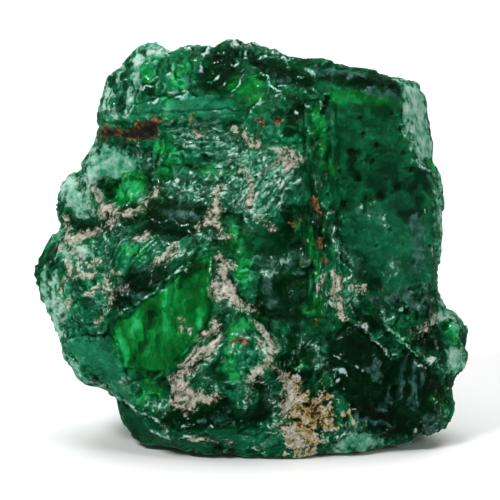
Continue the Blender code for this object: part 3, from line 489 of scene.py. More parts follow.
        ((0.3, 8.8), (0.9, 9.2), (1.7, 9.2), (2.8, 9.6), (2.9, 8.3), (2.4, 7.0), (1.6, 6.6), (0.9, 7.0),
         (0.3, 7.5)),
        ((1.6, 12.6, 0.3), (2.0, 11.9, 0.34), (1.6, 10.9, 0.3)),
        ((2.2, 10.5, 0.2), (2.6, 10.6, 0.2)),
        ((3.1, 13.4, 0.12), (3.3, 12.0, 0.18), (3.45, 10.8, 0.16)),
        ((1.6, 5.2, 0.16), (1.9, 4.6, 0.2), (2.4, 4.2, 0.2), (2.9, 4.3, 0.2)),
        ((5.2, 15.2, 0.2), (5.0, 14.5, 0.2), (5.3, 14.0, 0.12)),
        ((8.4, 12.4, 0.2), (7.8, 12.1, 0.26), (7.4, 12.2, 0.14)),
        ((4.8, 12.8, 0.1), (4.6, 12.6, 0.14)),
        ((-2.8, 14.5, 0.2), (-2.2, 14.6, 0.12)),
        ((-1.2, 15.8, 0.2), (-0.6, 15.3, 0.2)),
        ((1.2, 13.8, 0.16), (1.8, 13.4, 0.2), (1.4, 12.9, 0.16)),
    ),
    # Smooth, even, slightly bluish faces.
    "teal": (
        ((-7.7, 16.8), (-6.0, 16.8), (-4.3, 17.1), (-3.0, 16.9), (-1.5, 17.0), (-0.3, 16.5), (0.1, 16.9),
         (0.0, 17.4), (-0.9, 17.9), (-3.0, 17.9), (-4.8, 17.5), (-6.0, 17.1), (-7.4, 17.3)),
        ((-9.4, 5.9), (-8.2, 6.1), (-7.0, 6.1), (-6.8, 5.2), (-6.3, 4.3), (-5.8, 3.7), (-5.4, 2.9),
         (-6.6, 3.4), (-8.0, 4.3), (-9.1, 5.2)),
        ((-6.7, 3.0), (-5.4, 2.3), (-4.9, 1.5), (-3.4, 1.2), (-1.6, 0.7), (-2.2, 0.3), (-5.3, 0.7),
         (-6.1, 1.5), (-6.6, 2.3)),
        ((-4.4, 1.4), (-2.5, 1.5), (0.0, 1.6), (1.6, 1.2), (1.4, 0.3), (-0.4, 0.2), (-2.2, 1.0)),
        ((4.6, 11.9), (5.5, 12.4), (6.3, 11.8), (6.6, 10.7), (5.4, 10.2), (4.7, 10.6)),
        ((4.1, 3.4), (4.7, 3.2), (5.0, 2.5), (4.5, 2.1), (4.2, 2.6)),
        ((5.9, 4.5), (6.4, 4.6), (6.4, 4.1), (6.0, 3.6), (5.8, 4.1)),
        ((8.7, 2.1, 0.1), (8.9, 1.8, 0.3), (9.0, 1.5, 0.2)),
        ((0.7, 9.0, 0.06), (0.8, 8.3, 0.14), (1.0, 7.7, 0.1)),
        ((2.2, 10.0, 0.1), (2.2, 9.5, 0.22), (2.6, 9.3, 0.1)),
        ((8.4, 13.4, 0.3), (9.0, 12.8, 0.2)),
        ((8.6, 11.4, 0.3), (8.5, 9.4, 0.3)),
        ((7.9, 18.4), (8.7, 17.9), (8.9, 16.6), (9.1, 15.0), (8.4, 15.4), (8.0, 16.6)),
        ((5.8, 12.6), (7.4, 13.4), (9.0, 13.0), (9.4, 8.4), (6.6, 8.4), (5.8, 10.0)),
    ),
    # Thin raised lines, coloured pale with a painted glint.
    "crest": (
        ((-1.45, 19.05, 0.05), (-1.6, 18.8, 0.13), (-1.85, 18.6, 0.1), (-2.25, 18.65, 0.05)),
        ((-1.5, 18.4, 0.05), (-1.2, 18.6, 0.06)),
        ((-0.5, 19.9, 0.05), (-0.5, 19.6, 0.1), (-0.7, 19.45, 0.09), (-0.95, 19.55, 0.05)),
        ((-0.5, 18.75, 0.05), (-0.6, 18.35, 0.07), (-0.9, 18.05, 0.07)),
        ((0.65, 17.95, 0.04), (0.55, 17.65, 0.13), (0.15, 17.25, 0.05)),
        ((0.85, 17.7, 0.07), (0.55, 17.6, 0.1)),
        ((-0.3, 19.1, 0.04), (-0.4, 18.95, 0.05)),
        ((-2.6, 19.7, 0.08), (-2.65, 19.3, 0.12), (-2.5, 19.2, 0.05)),
        ((-3.05, 18.6, 0.05), (-3.2, 18.3, 0.09), (-3.9, 18.05, 0.06)),
        ((-3.1, 18.15, 0.06), (-3.3, 17.85, 0.09), (-3.6, 17.95, 0.06)),
        ((-3.75, 19.4, 0.05), (-3.85, 19.0, 0.07), (-4.25, 18.85, 0.06)),
        ((-3.35, 19.75, 0.05), (-3.5, 19.5, 0.06)),
        ((-4.6, 18.9, 0.05), (-4.95, 18.75, 0.1)),
        ((-4.8, 18.4, 0.05), (-5.15, 18.45, 0.06), (-5.5, 18.1, 0.05)),
        ((-4.45, 17.8, 0.05), (-4.7, 17.65, 0.07), (-5.0, 17.65, 0.05)),
        ((-2.0, 20.45, 0.12), (-2.3, 20.1, 0.09), (-2.5, 20.2, 0.05)),
        ((-0.7, 20.6, 0.1), (-0.6, 20.45, 0.07)),
        ((0.45, 19.85, 0.08), (0.8, 19.9, 0.12), (1.1, 19.8, 0.08)),
        ((0.0, 19.55, 0.05), (0.5, 19.15, 0.06), (0.9, 18.9, 0.09), (1.1, 18.6, 0.12), (1.4, 18.3, 0.06)),
        ((1.3, 18.75, 0.05), (1.7, 18.5, 0.08), (1.9, 18.4, 0.05)),
        ((1.4, 18.2, 0.05), (1.7, 18.15, 0.07)),
        ((1.4, 17.95, 0.06), (1.7, 17.9, 0.1), (1.8, 17.7, 0.06)),
        ((1.6, 19.85, 0.08), (1.9, 19.6, 0.08), (2.0, 19.3, 0.05)),
        ((2.7, 19.3, 0.06), (3.0, 19.1, 0.1), (3.5, 18.9, 0.06)),
        ((2.4, 18.95, 0.06), (2.6, 18.9, 0.07)),
        ((3.2, 18.3, 0.1), (3.4, 18.15, 0.08)),
        ((2.8, 17.65, 0.08), (2.95, 17.45, 0.1), (3.0, 17.3, 0.05)),
        ((2.2, 17.3, 0.05), (2.35, 17.1, 0.07)),
        ((3.7, 17.5, 0.05), (3.85, 17.3, 0.05)),
        ((4.65, 18.55, 0.06), (4.75, 18.4, 0.05)),
        ((-7.3, 17.4, 0.08), (-7.3, 17.2, 0.07)),
        ((-5.0, 12.0, 0.05), (-4.3, 11.7, 0.05), (-3.7, 12.0, 0.05), (-3.4, 11.7, 0.07),
         (-3.0, 11.65, 0.05)),
        ((-3.1, 9.35, 0.08), (-3.4, 9.5, 0.06), (-3.0, 9.75, 0.05)),
        ((-3.3, 10.4, 0.05), (-3.0, 10.2, 0.08)),
        ((-2.5, 11.2, 0.08), (-2.2, 11.0, 0.06)),
        ((-5.2, 10.7, 0.04), (-5.6, 10.2, 0.06), (-5.8, 10.0, 0.04)),
        ((-4.6, 10.9, 0.04), (-5.0, 10.4, 0.06), (-5.1, 10.0, 0.05)),
        ((-4.35, 10.75, 0.06), (-4.5, 10.9, 0.06)),
        ((-3.5, 9.4, 0.07), (-4.3, 8.9, 0.07), (-4.9, 8.3, 0.05), (-5.6, 7.7, 0.04), (-6.2, 7.2, 0.04),
         (-6.6, 6.8, 0.03)),
        ((-7.3, 8.0, 0.04), (-6.2, 7.9, 0.04)),
        ((-6.2, 8.2, 0.04), (-5.3, 8.2, 0.05)),
        ((-9.4, 5.3, 0.08), (-9.0, 4.95, 0.1), (-8.5, 4.55, 0.08), (-8.0, 4.05, 0.06), (-7.4, 3.65, 0.05),
         (-6.6, 3.2, 0.06), (-6.0, 2.9, 0.06), (-5.5, 2.5, 0.06), (-5.0, 2.05, 0.06)),
        ((-5.4, 2.6, 0.05), (-4.9, 2.2, 0.06), (-4.5, 1.8, 0.09), (-4.3, 1.5, 0.05)),
        ((-4.9, 1.4, 0.05), (-4.0, 1.2, 0.05), (-2.6, 1.15, 0.05)),
        ((-1.9, 1.75, 0.06), (-1.75, 1.6, 0.05)),
        ((-3.4, 1.65, 0.05), (-2.7, 1.75, 0.06)),
        ((4.6, 7.0, 0.05), (5.3, 6.6, 0.08), (5.6, 6.45, 0.12), (5.95, 6.1, 0.06), (6.3, 5.75, 0.07),
         (6.7, 5.4, 0.1), (7.1, 5.15, 0.05)),
        ((7.05, 6.2, 0.05), (7.7, 5.75, 0.05), (8.1, 5.4, 0.07), (8.55, 5.05, 0.05)),
        ((8.1, 5.0, 0.05), (8.4, 4.7, 0.09), (8.75, 4.5, 0.05)),
        ((3.2, 5.6, 0.05), (3.5, 5.4, 0.08), (3.5, 5.0, 0.06)),
        ((3.6, 5.5, 0.04), (4.0, 5.45, 0.04)),
        ((4.1, 5.3, 0.04), (4.7, 5.0, 0.05), (5.1, 4.65, 0.05), (5.5, 4.35, 0.04)),
        ((3.3, 4.4, 0.05), (3.6, 4.7, 0.05), (4.1, 4.95, 0.05)),
        ((3.5, 4.35, 0.04), (3.9, 4.6, 0.04)),
        ((4.2, 4.5, 0.07), (4.45, 4.35, 0.15), (4.7, 4.15, 0.13), (4.95, 3.95, 0.05)),
        ((4.2, 4.45, 0.06), (4.15, 4.1, 0.05)),
        ((3.95, 3.65, 0.05), (4.3, 3.95, 0.06)),
        ((4.5, 3.65, 0.04), (4.6, 3.5, 0.05)),
        ((7.1, 5.27, 0.06), (7.3, 5.27, 0.05)),
        ((8.85, 5.15, 0.07), (9.3, 5.12, 0.05)),
        ((9.1, 4.85, 0.05), (9.25, 4.75, 0.05)),
        ((2.25, 5.5, 0.05), (2.4, 5.85, 0.06), (2.55, 6.1, 0.05), (2.65, 5.9, 0.06)),
        ((1.65, 6.45, 0.05), (1.8, 5.9, 0.08)),
        ((2.5, 4.9, 0.05), (2.6, 4.65, 0.06)),
        ((3.2, 7.3, 0.05), (2.6, 7.2, 0.04)),
        ((-1.9, 4.0, 0.06), (-1.6, 3.5, 0.08)),
        ((-0.3, 3.0, 0.05), (-0.3, 2.4, 0.06)),
        ((2.3, 13.75, 0.08), (2.6, 13.95, 0.1)),
        ((1.4, 14.0, 0.05), (1.4, 13.6, 0.08)),
        ((1.6, 13.9, 0.04), (1.5, 13.3, 0.04)),
        ((-3.4, 15.9, 0.05), (-2.9, 15.7, 0.07), (-2.3, 15.8, 0.05)),
        ((-3.7, 15.6, 0.05), (-3.3, 15.45, 0.06), (-2.7, 15.5, 0.05)),
        ((-2.2, 15.1, 0.05), (-1.7, 15.15, 0.05)),
        ((-1.7, 16.0, 0.05), (-1.2, 15.6, 0.06)),
        ((-1.0, 11.65, 0.06), (-0.8, 11.7, 0.07)),
        ((8.1, 9.6, 0.04), (8.65, 9.1, 0.04)),
        ((9.0, 14.1, 0.06), (8.5, 14.4, 0.05), (8.2, 14.9, 0.04)),
    ),
    # Thin sunken lines, darkened with painted shade.
    "crease": (
        ((-6.1, 18.1, 0.05), (-5.6, 18.3, 0.06), (-5.2, 18.6, 0.05)),
        ((-4.7, 19.5, 0.05), (-4.6, 19.0, 0.05)),
        ((-4.0, 19.9, 0.05), (-3.9, 19.3, 0.06), (-3.4, 19.0, 0.05)),
        ((-5.1, 18.1, 0.05), (-4.5, 17.9, 0.07), (-3.9, 17.9, 0.05)),
        ((-3.9, 16.1, 0.04), (-3.2, 15.85, 0.05), (-2.2, 15.6, 0.05)),
        ((-3.6, 15.3, 0.05), (-2.6, 15.25, 0.06), (-1.9, 14.9, 0.05)),
        ((-4.4, 15.8, 0.05), (-4.5, 15.2, 0.07), (-4.6, 14.5, 0.05)),
        ((0.2, 14.0, 0.04), (0.9, 13.7, 0.06), (1.2, 13.2, 0.05)),
        ((1.5, 14.1, 0.05), (1.55, 13.5, 0.06)),
        ((-3.6, 10.4, 0.05), (-3.8, 10.1, 0.06), (-4.4, 9.8, 0.05)),
        ((-5.5, 10.5, 0.05), (-5.9, 9.9, 0.06)),
        ((-5.1, 9.3, 0.05), (-5.9, 8.9, 0.05)),
        ((-0.95, 9.3, 0.05), (-0.75, 8.6, 0.06), (-0.45, 8.0, 0.06), (0.1, 7.7, 0.05), (0.2, 7.1, 0.06),
         (0.7, 6.6, 0.06), (1.2, 6.0, 0.05)),
        ((-1.9, 5.3, 0.05), (-2.2, 4.9, 0.07), (-2.8, 4.5, 0.06)),
        ((-0.1, 4.4, 0.05), (0.4, 4.1, 0.06), (0.1, 3.4, 0.05)),
        ((5.0, 6.6, 0.06), (5.8, 6.1, 0.06), (6.4, 5.5, 0.05)),
        ((3.4, 4.2, 0.1), (3.8, 4.5, 0.12)),
        ((4.9, 2.9, 0.06), (5.3, 2.3, 0.07), (5.9, 2.0, 0.06)),
        ((7.55, 18.4, 0.05), (7.6, 17.2, 0.06), (7.9, 15.7, 0.05)),
        ((2.9, 12.9, 0.05), (2.9, 11.5, 0.05)),
        ((3.5, 11.6, 0.05), (3.6, 10.4, 0.06)),
        ((-9.4, 6.05, 0.04), (-8.2, 6.2, 0.05), (-7.1, 6.2, 0.05)),
    ),
    # Faces that broke smooth or grew flat.
    "smooth": (
        ((4.2, 18.6), (7.4, 18.4), (8.0, 15.4), (9.0, 13.6), (9.0, 8.8), (6.6, 8.0), (5.0, 9.8),
         (4.0, 13.0)),
        ((-7.7, 16.8), (-4.3, 17.1), (-1.5, 17.0), (-0.3, 16.5), (0.0, 17.4), (-0.9, 17.9), (-3.0, 17.9),
         (-4.8, 17.5), (-7.4, 17.3)),
        ((-9.4, 5.9), (-7.0, 6.1), (-6.3, 4.3), (-5.4, 2.9), (-6.6, 3.4), (-9.1, 5.2)),
        ((-6.7, 3.0), (-4.9, 1.5), (-1.6, 0.7), (-2.2, 0.3), (-5.3, 0.7), (-6.6, 2.3)),
        ((-9.2, 4.85), (-6.9, 3.35), (-8.3, 3.5), (-8.7, 3.9)),
        ((-2.2, 9.9), (-5.0, 8.0), (-6.8, 6.5), (-6.4, 4.6), (-4.3, 4.4), (-2.1, 7.0)),
        ((-4.9, 12.7), (-2.6, 12.7), (-3.0, 11.2), (-5.0, 11.3)),
        ((4.9, 6.4), (7.0, 5.1), (8.6, 4.8), (9.6, 2.2), (6.8, 1.2), (5.2, 2.2), (4.1, 4.4), (4.1, 6.0)),
        ((-2.7, 19.5), (-0.8, 20.2), (0.2, 19.2), (0.9, 18.2), (0.2, 17.6), (-2.3, 18.2)),
        ((1.2, 19.6, 0.5), (3.2, 18.8, 0.5), (5.6, 18.9, 0.4)),
        ((7.7, 18.6), (8.8, 18.2), (9.2, 15.0), (8.4, 15.0), (7.8, 16.5)),
        ((0.7, 11.6, 0.6), (1.6, 8.8, 0.9), (1.8, 7.4, 0.6)),
    ),
    # Where the fine structure runs upright, level or slanting up to the right.
    "upright": (
        ((-7.3, 19.6), (-6.0, 20.4), (-3.0, 20.6), (-3.0, 18.4), (-4.6, 17.8), (-7.2, 17.3)),
        ((2.7, 17.8), (4.3, 17.6), (4.4, 12.0), (4.6, 7.4), (2.9, 7.0), (2.6, 12.0)),
        ((-1.8, 10.2), (-3.8, 9.0), (-6.7, 6.5), (-6.3, 4.6), (-4.3, 4.3), (-1.9, 7.0)),
        ((7.5, 5.0), (9.0, 4.6), (8.6, 2.6), (7.4, 2.8)),
        ((-6.6, 2.9), (-5.0, 2.0), (-4.6, 1.2), (-5.6, 0.8)),
    ),
    "level": (
        ((-4.2, 16.6), (-0.8, 16.2), (-0.4, 15.0), (-1.8, 14.4), (-4.2, 14.6)),
        ((-7.7, 17.2), (0.0, 17.3), (-0.4, 16.6), (-7.7, 16.8)),
        ((-9.5, 6.6), (-6.8, 6.2), (-6.0, 3.8), (-9.0, 5.0)),
        ((-8.9, 8.4), (-6.6, 8.4), (-5.6, 7.6), (-6.6, 6.8), (-8.9, 6.8)),
        ((-4.0, 1.6), (1.4, 1.5), (1.4, 0.4), (-3.4, 0.6)),
    ),
    "slanting": (
        ((-7.2, 10.0), (-6.6, 11.2), (-3.2, 11.4), (-2.4, 10.6), (-5.0, 8.4), (-6.6, 8.6)),
        ((-4.0, 4.6), (-1.6, 6.6), (-1.2, 6.0), (-1.9, 4.2), (-3.6, 3.4)),
        ((-0.9, 12.0), (-0.4, 13.4), (1.4, 14.8), (2.8, 14.6), (2.4, 13.2), (0.8, 11.9)),
        ((1.6, 2.0), (2.0, 5.6), (3.4, 6.2), (3.6, 3.6)),
    ),
}

# Marks on the back, placed as if seen through the stone.
BACK = {
    "clay": (
        ((6.8, 17.2, 0.06), (6.0, 15.0, 0.14), (6.3, 13.0, 0.26), (5.2, 11.4, 0.1)),
        ((-1.0, 16.8, 0.06), (-1.6, 15.0, 0.26), (-0.8, 12.8, 0.16), (-1.2, 11.0, 0.06)),
        ((-3.4, 8.6, 0.08), (-2.6, 7.2, 0.3), (-3.0, 5.6, 0.36), (-1.9, 4.4, 0.14)),
        ((1.2, 6.4, 0.1), (1.8, 5.9, 0.26), (2.4, 5.6, 0.1)),
        ((-8.2, 12.0, 0.14), (-7.4, 10.6, 0.24), (-7.8, 9.2, 0.1)),
        ((8.6, 6.6, 0.14), (8.0, 5.2, 0.24), (8.4, 3.4, 0.1)),
        ((-5.0, 11.0, 0.06), (-4.2, 10.4, 0.12), (-3.2, 10.6, 0.06)),
        ((2.6, 16.6, 0.1), (3.2, 15.2, 0.14), (2.9, 13.4, 0.08)),
    ),
    "iron": (
        ((-4.6, 16.4, 0.16), (-2.8, 16.0, 0.26), (-1.4, 16.2, 0.1)),
        ((5.4, 4.4, 0.12), (6.4, 3.6, 0.28)),
    ),
    "iron_core": (((-3.4, 16.1, 0.1), (-2.6, 16.0, 0.12)),),
    "ochre": (((-0.9, 4.2, 0.3), (-0.2, 3.4, 0.5), (0.6, 3.2, 0.2)),),
    "frost": (
        ((-5.0, 15.2), (-1.0, 15.6), (2.4, 14.4), (1.6, 12.2), (-2.0, 11.8), (-4.6, 12.8)),
        ((6.0, 15.4), (8.2, 14.6), (7.8, 10.0), (5.4, 9.8), (5.6, 12.6)),
        ((-7.0, 9.0), (-3.6, 9.2), (-1.0, 6.6), (-1.8, 4.0), (-4.4, 4.4), (-6.4, 6.2)),
        ((1.2, 9.4, 0.8), (2.8, 8.0, 0.6), (1.8, 5.0, 0.9)),
        ((-8.2, 5.8, 0.5), (-6.6, 3.2, 0.6)),
    ),
    # Milky veils and painted light through thin parts, as on the front.
    "pale": (
        ((-9.9, 8.8, 0.5), (-9.4, 11.2, 0.6), (-8.9, 13.2, 0.6)),
        ((9.9, 5.6, 0.6), (9.8, 3.4, 0.5), (9.4, 2.0, 0.4)),
        ((-4.8, 20.2, 0.5), (-6.4, 19.0, 0.5)),
        ((8.6, 17.6, 0.5), (8.8, 15.0, 0.5)),
    ),
    # Painted glow of light from within, as on the front.
    "vivid": (
        ((6.8, 16.8), (8.2, 16.0), (8.0, 12.0), (7.0, 11.0), (6.4, 13.6)),
        ((-7.2, 14.2), (-4.6, 13.6), (-3.4, 10.6), (-5.0, 9.8), (-6.6, 11.2)),
        ((-0.8, 10.8), (1.6, 12.0), (2.4, 10.2), (0.8, 8.2), (-0.6, 8.8)),
    ),
    # Painted light, as on the front.
    "lit": (((-5.8, 12.8, 0.4), (-4.8, 11.4, 0.4)), ((0.4, 10.2, 0.4), (1.0, 9.6, 0.3))),
    # Painted shade, as on the front.
    "dark": (
        ((-6.6, 17.6), (-3.0, 18.4), (-2.2, 17.0), (-4.4, 15.4), (-6.8, 15.8)),
        ((-3.0, 3.8), (-0.6, 4.4), (1.8, 3.4), (1.0, 1.6), (-2.4, 1.6)),
        ((4.8, 9.2), (6.6, 9.4), (6.8, 5.6), (5.2, 5.0)),
        ((3.6, 12.6, 0.2), (3.7, 9.0, 0.3), (3.6, 6.0, 0.2)),
    ),
    "teal": (
        ((7.0, 9.4), (8.6, 9.0), (8.6, 5.6), (7.2, 5.2)),
        ((-5.4, 8.6), (-4.2, 8.8), (-4.2, 5.8), (-5.2, 5.4)),
    ),
    # Raised lines with a painted glint, as on the front.
    "crest": (
        ((-6.4, 16.2, 0.06), (-5.2, 15.6, 0.08), (-4.0, 15.6, 0.06)),
        ((-2.2, 3.4, 0.06), (-0.8, 3.9, 0.08), (0.8, 3.4, 0.06)),
        ((3.5, 16.8, 0.04), (3.8, 15.9, 0.08), (3.6, 15.1, 0.04)),
        ((3.9, 12.2, 0.03), (3.6, 11.4, 0.08), (3.9, 10.5, 0.05), (3.8, 10.1, 0.03)),
        ((-5.4, 15.0, 0.04), (-5.9, 14.2, 0.07), (-5.7, 13.4, 0.04)),
    ),
    # Sunken lines darkened with painted shade, as on the front.
    "crease": (
        ((0.6, 15.6, 0.05), (0.2, 13.0, 0.07), (0.8, 11.2, 0.05)),
        ((6.0, 12.0, 0.05), (5.6, 9.4, 0.07), (6.2, 7.6, 0.05)),
        ((-3.8, 14.0, 0.05), (-2.4, 13.4, 0.06), (-0.6, 13.8, 0.05)),
    ),
    "smooth": (
        ((-7.4, 18.0), (-2.0, 18.6), (-1.8, 16.4), (-5.0, 14.6), (-7.4, 15.4)),
        ((-3.6, 5.6), (2.4, 5.2), (2.6, 1.8), (-3.6, 1.8)),
        ((7.6, 14.6), (9.0, 14.0), (9.0, 7.4), (7.6, 7.4)),
        ((-4.4, 12.6), (2.8, 13.0), (3.2, 8.6), (-3.8, 8.6)),
    ),
    "upright": (
        ((6.0, 16.0, 1.4), (7.4, 8.0, 1.5)),
        ((0.4, 15.0, 1.6), (0.0, 8.0, 1.8)),
    ),
    "slanting": (((-8.0, 6.0), (-5.0, 10.0), (-3.0, 8.0), (-5.6, 4.0)),),
}

# Small dark pits of the flat prism face: (across, up, radius).
PITS = (
    (4.95, 15.25, 0.18), (6.25, 15.6, 0.15), (6.45, 13.05, 0.3), (8.4, 12.85, 0.3), (4.6, 12.75, 0.16),
    (7.45, 16.4, 0.14), (7.95, 14.4, 0.16), (7.25, 13.5, 0.16), (6.05, 14.8, 0.12), (5.6, 16.15, 0.14),
    (6.9, 11.4, 0.1), (5.4, 16.9, 0.1), (8.3, 11.4, 0.12), (6.2, 10.6, 0.1), (7.0, 17.2, 0.1),
    (4.4, 14.3, 0.1), (5.3, 13.9, 0.12), (8.1, 9.8, 0.12), (5.2, 11.3, 0.08), (7.8, 7.35, 0.24),
    (7.3, 7.9, 0.14), (6.7, 13.9, 0.1), (5.7, 13.0, 0.1), (7.6, 15.2, 0.1), (8.9, 10.6, 0.12),
)

# Conchoidal breaks: the start of the break (across, up), its reach, the width
# of a ripple and its height. The ripples ring the start like waves, and fade out
# from a share of the reach on.
RIPPLES_FADE = 0.7
RIPPLES = (
    ((9.4, 0.6), 6.4, 0.8, 0.06),
    ((3.6, 6.6), 2.8, 0.55, 0.035),
    ((-1.4, 20.9), 3.0, 0.55, 0.05),
    ((0.6, 20.9), 2.6, 0.5, 0.05),
    ((3.4, 20.6), 2.4, 0.5, 0.04),
    ((-4.2, 20.9), 3.2, 0.5, 0.035),
    ((-2.2, 10.4), 6.4, 0.7, 0.03),
    ((-5.4, 0.2), 2.2, 0.45, 0.02),
)


def fraction(value, low, high):
    """How far a value, or an array of them, has gone from low to high: 0 to 1, eased at both ends."""
    part = np.clip((value - low) / (high - low), 0.0, 1.0)
    return part * part * (3.0 - 2.0 * part)


def gap_to_line(flat, start, end):
    """The distance of each place from a straight line, and how far along the line it lies."""
    run = end - start
    along = np.clip((flat - start) @ run / (run @ run), 0.0, 1.0)
    return np.linalg.norm(flat - start - along[:, None] * run, axis=1), along


def stroke_depth(flat, points):
    """How deep each place lies inside a stroke; below 0 outside."""
    deepest = np.full(len(flat), -MARK_REACH)
    for start, end in zip(points, points[1:]):
        gap, along = gap_to_line(flat, start[:2], end[:2])
        width = start[2] + along * (end[2] - start[2])
        deepest = np.maximum(deepest, width - gap)
    return deepest


def patch_depth(flat, corners):
    """How deep each place lies inside an outline; below 0 outside."""
    nearest = np.full(len(flat), np.inf)
    inside = np.zeros(len(flat), dtype=bool)
    for start, end in zip(corners, np.roll(corners, -1, axis=0)):
        nearest = np.minimum(nearest, gap_to_line(flat, start, end)[0])
        between = (start[1] > flat[:, 1]) != (end[1] > flat[:, 1])
        rise = end[1] - start[1] or 1.0
        meeting = start[0] + (flat[:, 1] - start[1]) * (end[0] - start[0]) / rise
        inside ^= between & (flat[:, 0] < meeting)
    return np.where(inside, nearest, -nearest)


def depth_inside(places, shapes):
    """How deep each place lies inside the patches and strokes of a mark, in millimetres."""
    flat = places[:, :2]
    deepest = np.full(len(flat), -MARK_REACH)
    for shape in shapes:
        points = np.array(shape)
        low, high = points[:, :2].min(axis=0) - MARK_REACH, points[:, :2].max(axis=0) + MARK_REACH
        near = np.all((flat > low) & (flat < high), axis=1)
        measure = stroke_depth if points.shape[1] == 3 else patch_depth
        deepest[near] = np.maximum(deepest[near], measure(flat[near], points))
    return np.clip(deepest, -MARK_REACH, MARK_REACH)


def depth_on_stone(places, name):
    """The depth inside a mark, of the front's shapes on the front and of the back's on the back."""
    ahead = places[:, 2] - FRONT_EDGE
    front = depth_inside(places, FRONT.get(name, ())) + np.minimum(ahead, 0.0)
    back = depth_inside(places, BACK.get(name, ())) + np.minimum(-ahead, 0.0)
    return np.maximum(front, back)


def sampled(pattern, places):
    """A pattern of positions, worked out at each of the places."""
    return np.array([pattern(Vector(place)) for place in places])


def strayed(places):
    """The places, each pushed a little aside, so that marks measured over them get ragged."""
    moved = places.copy()
    for size, push in STRAYS:
        for axis, shift in enumerate(STRAY_SHIFTS):
            moved[:, axis] += push * sampled(noise.noise, places / size + shift)
    return moved


def smoothed(values, edges, rounds):
    """Points, or numbers on them, each moved halfway to its neighbours' middle, some rounds over."""
    first, second = edges[:, 0], edges[:, 1]
    count = len(values)
    neighbours = np.bincount(np.concatenate([first, second]), minlength=count)
    columns = values.reshape(count, -1)
    for _ in range(rounds):
        totals = [
            np.bincount(first, column[second], count) + np.bincount(second, column[first], count)
            for column in columns.T
        ]
        columns = (columns + np.stack(totals, axis=1) / neighbours[:, None]) / 2.0
    return columns.reshape(values.shape)


def edge_pairs(mesh):
    pairs = np.empty(len(mesh.edges) * 2, dtype=np.int32)
    mesh.edges.foreach_get("vertices", pairs)
    return pairs.reshape(-1, 2)


def positions_of(mesh):
    flat = np.empty(len(mesh.vertices) * 3)
    mesh.vertices.foreach_get("co", flat)
    return flat.reshape(-1, 3)


def normals_of(mesh):
    flat = np.empty(len(mesh.vertices) * 3)
    mesh.vertices.foreach_get("normal", flat)
    return flat.reshape(-1, 3)


def set_positions(mesh, positions):
    mesh.vertices.foreach_set("co", positions.ravel())
    mesh.update()


def store(mesh, name, values):
    """Keeps one number for each point of the mesh, for the material to read."""
    layer = mesh.attributes.new(name, "FLOAT", "POINT")
    layer.data.foreach_set("value", np.asarray(values, dtype=np.float32))


def store_places(mesh, name, places):
    """Keeps one place for each point of the mesh, for the material to read."""
    layer = mesh.attributes.new(name, "FLOAT_VECTOR", "POINT")
    layer.data.foreach_set("vector", np.asarray(places, dtype=np.float32).ravel())


def fine_copy(node, name):
    """A new object with the CAD node's shape in an even, fine mesh."""
    stone = bpy.data.objects.new(name, node.data.copy())
    bpy.context.scene.collection.objects.link(stone)
    remesh = stone.modifiers.new("even mesh", "REMESH")
    remesh.mode = "VOXEL"
    remesh.voxel_size = MESH_SPACING * MM
    remesh.use_smooth_shade = True
    seen = bpy.context.evaluated_depsgraph_get()
    mesh = bpy.data.meshes.new_from_object(stone.evaluated_get(seen))
    mesh.name = name
    stone.modifiers.clear()
    stone.data = mesh
    return stone


def reached_out(positions):
    """The positions with the stone's left and right ends drawn out a little."""
    across = as_seen(positions)[:, 0]
    moved = positions.copy()
    moved[:, 0] -= LEFT_REACH * MM * fraction(-across, *LEFT_END)
    moved[:, 0] += RIGHT_REACH * MM * fraction(across, *RIGHT_END)
    return moved


def chip_pattern(size, shift):
    """A pattern of small flat chips, each at its own level and with its own lean."""

    def height(place):
        spot = place / size + Vector(shift)
        distances, centres = noise.voronoi(spot)
        level = noise.cell(centres[0] * LEVEL_STRETCH) - 0.5
        lean = noise.cell_vector(centres[0] * LEAN_STRETCH) - Vector((0.5, 0.5, 0.5))
        edge = min((distances[1] - distances[0]) / CHIP_EDGE, 1.0)
        return (level + CHIP_LEAN * lean.dot(spot - centres[0])) * edge

    return height


def cloud_pattern(size, shift, layers):
    """A soft pattern of layers, each half as large as the one before."""

    def height(place):
        return noise.fractal(place / size + Vector(shift), 1.0, 2.0, layers)

    return height


def run_places(places):
    """The places, drawn out along the fine structure wherever that has a direction."""
    across, up, forward = places.T
    along, over = (across + up) / math.sqrt(2.0), (up - across) / math.sqrt(2.0)
    drawn = {
        "upright": (across * CLOSE, up * DRAWN, forward * CLOSE),
        "level": (across * DRAWN, up * CLOSE, forward * CLOSE),
        "slanting": (along * DRAWN, over * CLOSE, forward * CLOSE),
    }
    runs = places.copy()
    for name, axes in drawn.items():
        here = depth_on_stone(places, name) > 0.0
        runs[here] = np.stack(axes, axis=1)[here]
    return runs


def ripple_heights(places, wobble):
    """Rounded troughs between sharp crests, in rings about the start of each break."""
    heights = np.zeros(len(places))
    for start, reach, width, height in RIPPLES:
        distance = np.linalg.norm(places[:, :2] - np.array(start), axis=1) + wobble * width
        crest = 1.0 - np.abs(np.sin(np.pi * distance / width))
        left = 1.0 - fraction(distance, RIPPLES_FADE * reach, reach)
        heights += height * left * crest * (places[:, 2] > FRONT_EDGE)
    return heights


def pit_depths(places):
    depths = np.zeros(len(places))
    for across, up, radius in PITS:
        distance = np.hypot(places[:, 0] - across, places[:, 1] - up) / radius
        depths = np.maximum(depths, 1.0 - fraction(distance, *PIT_WALL))
    return depths * (places[:, 2] > FRONT_EDGE)


def left_where(rough, on_smooth):
    """How much of a relief is left: all of it on rough ground, a share of it on smooth."""
    return on_smooth + (1.0 - on_smooth) * rough


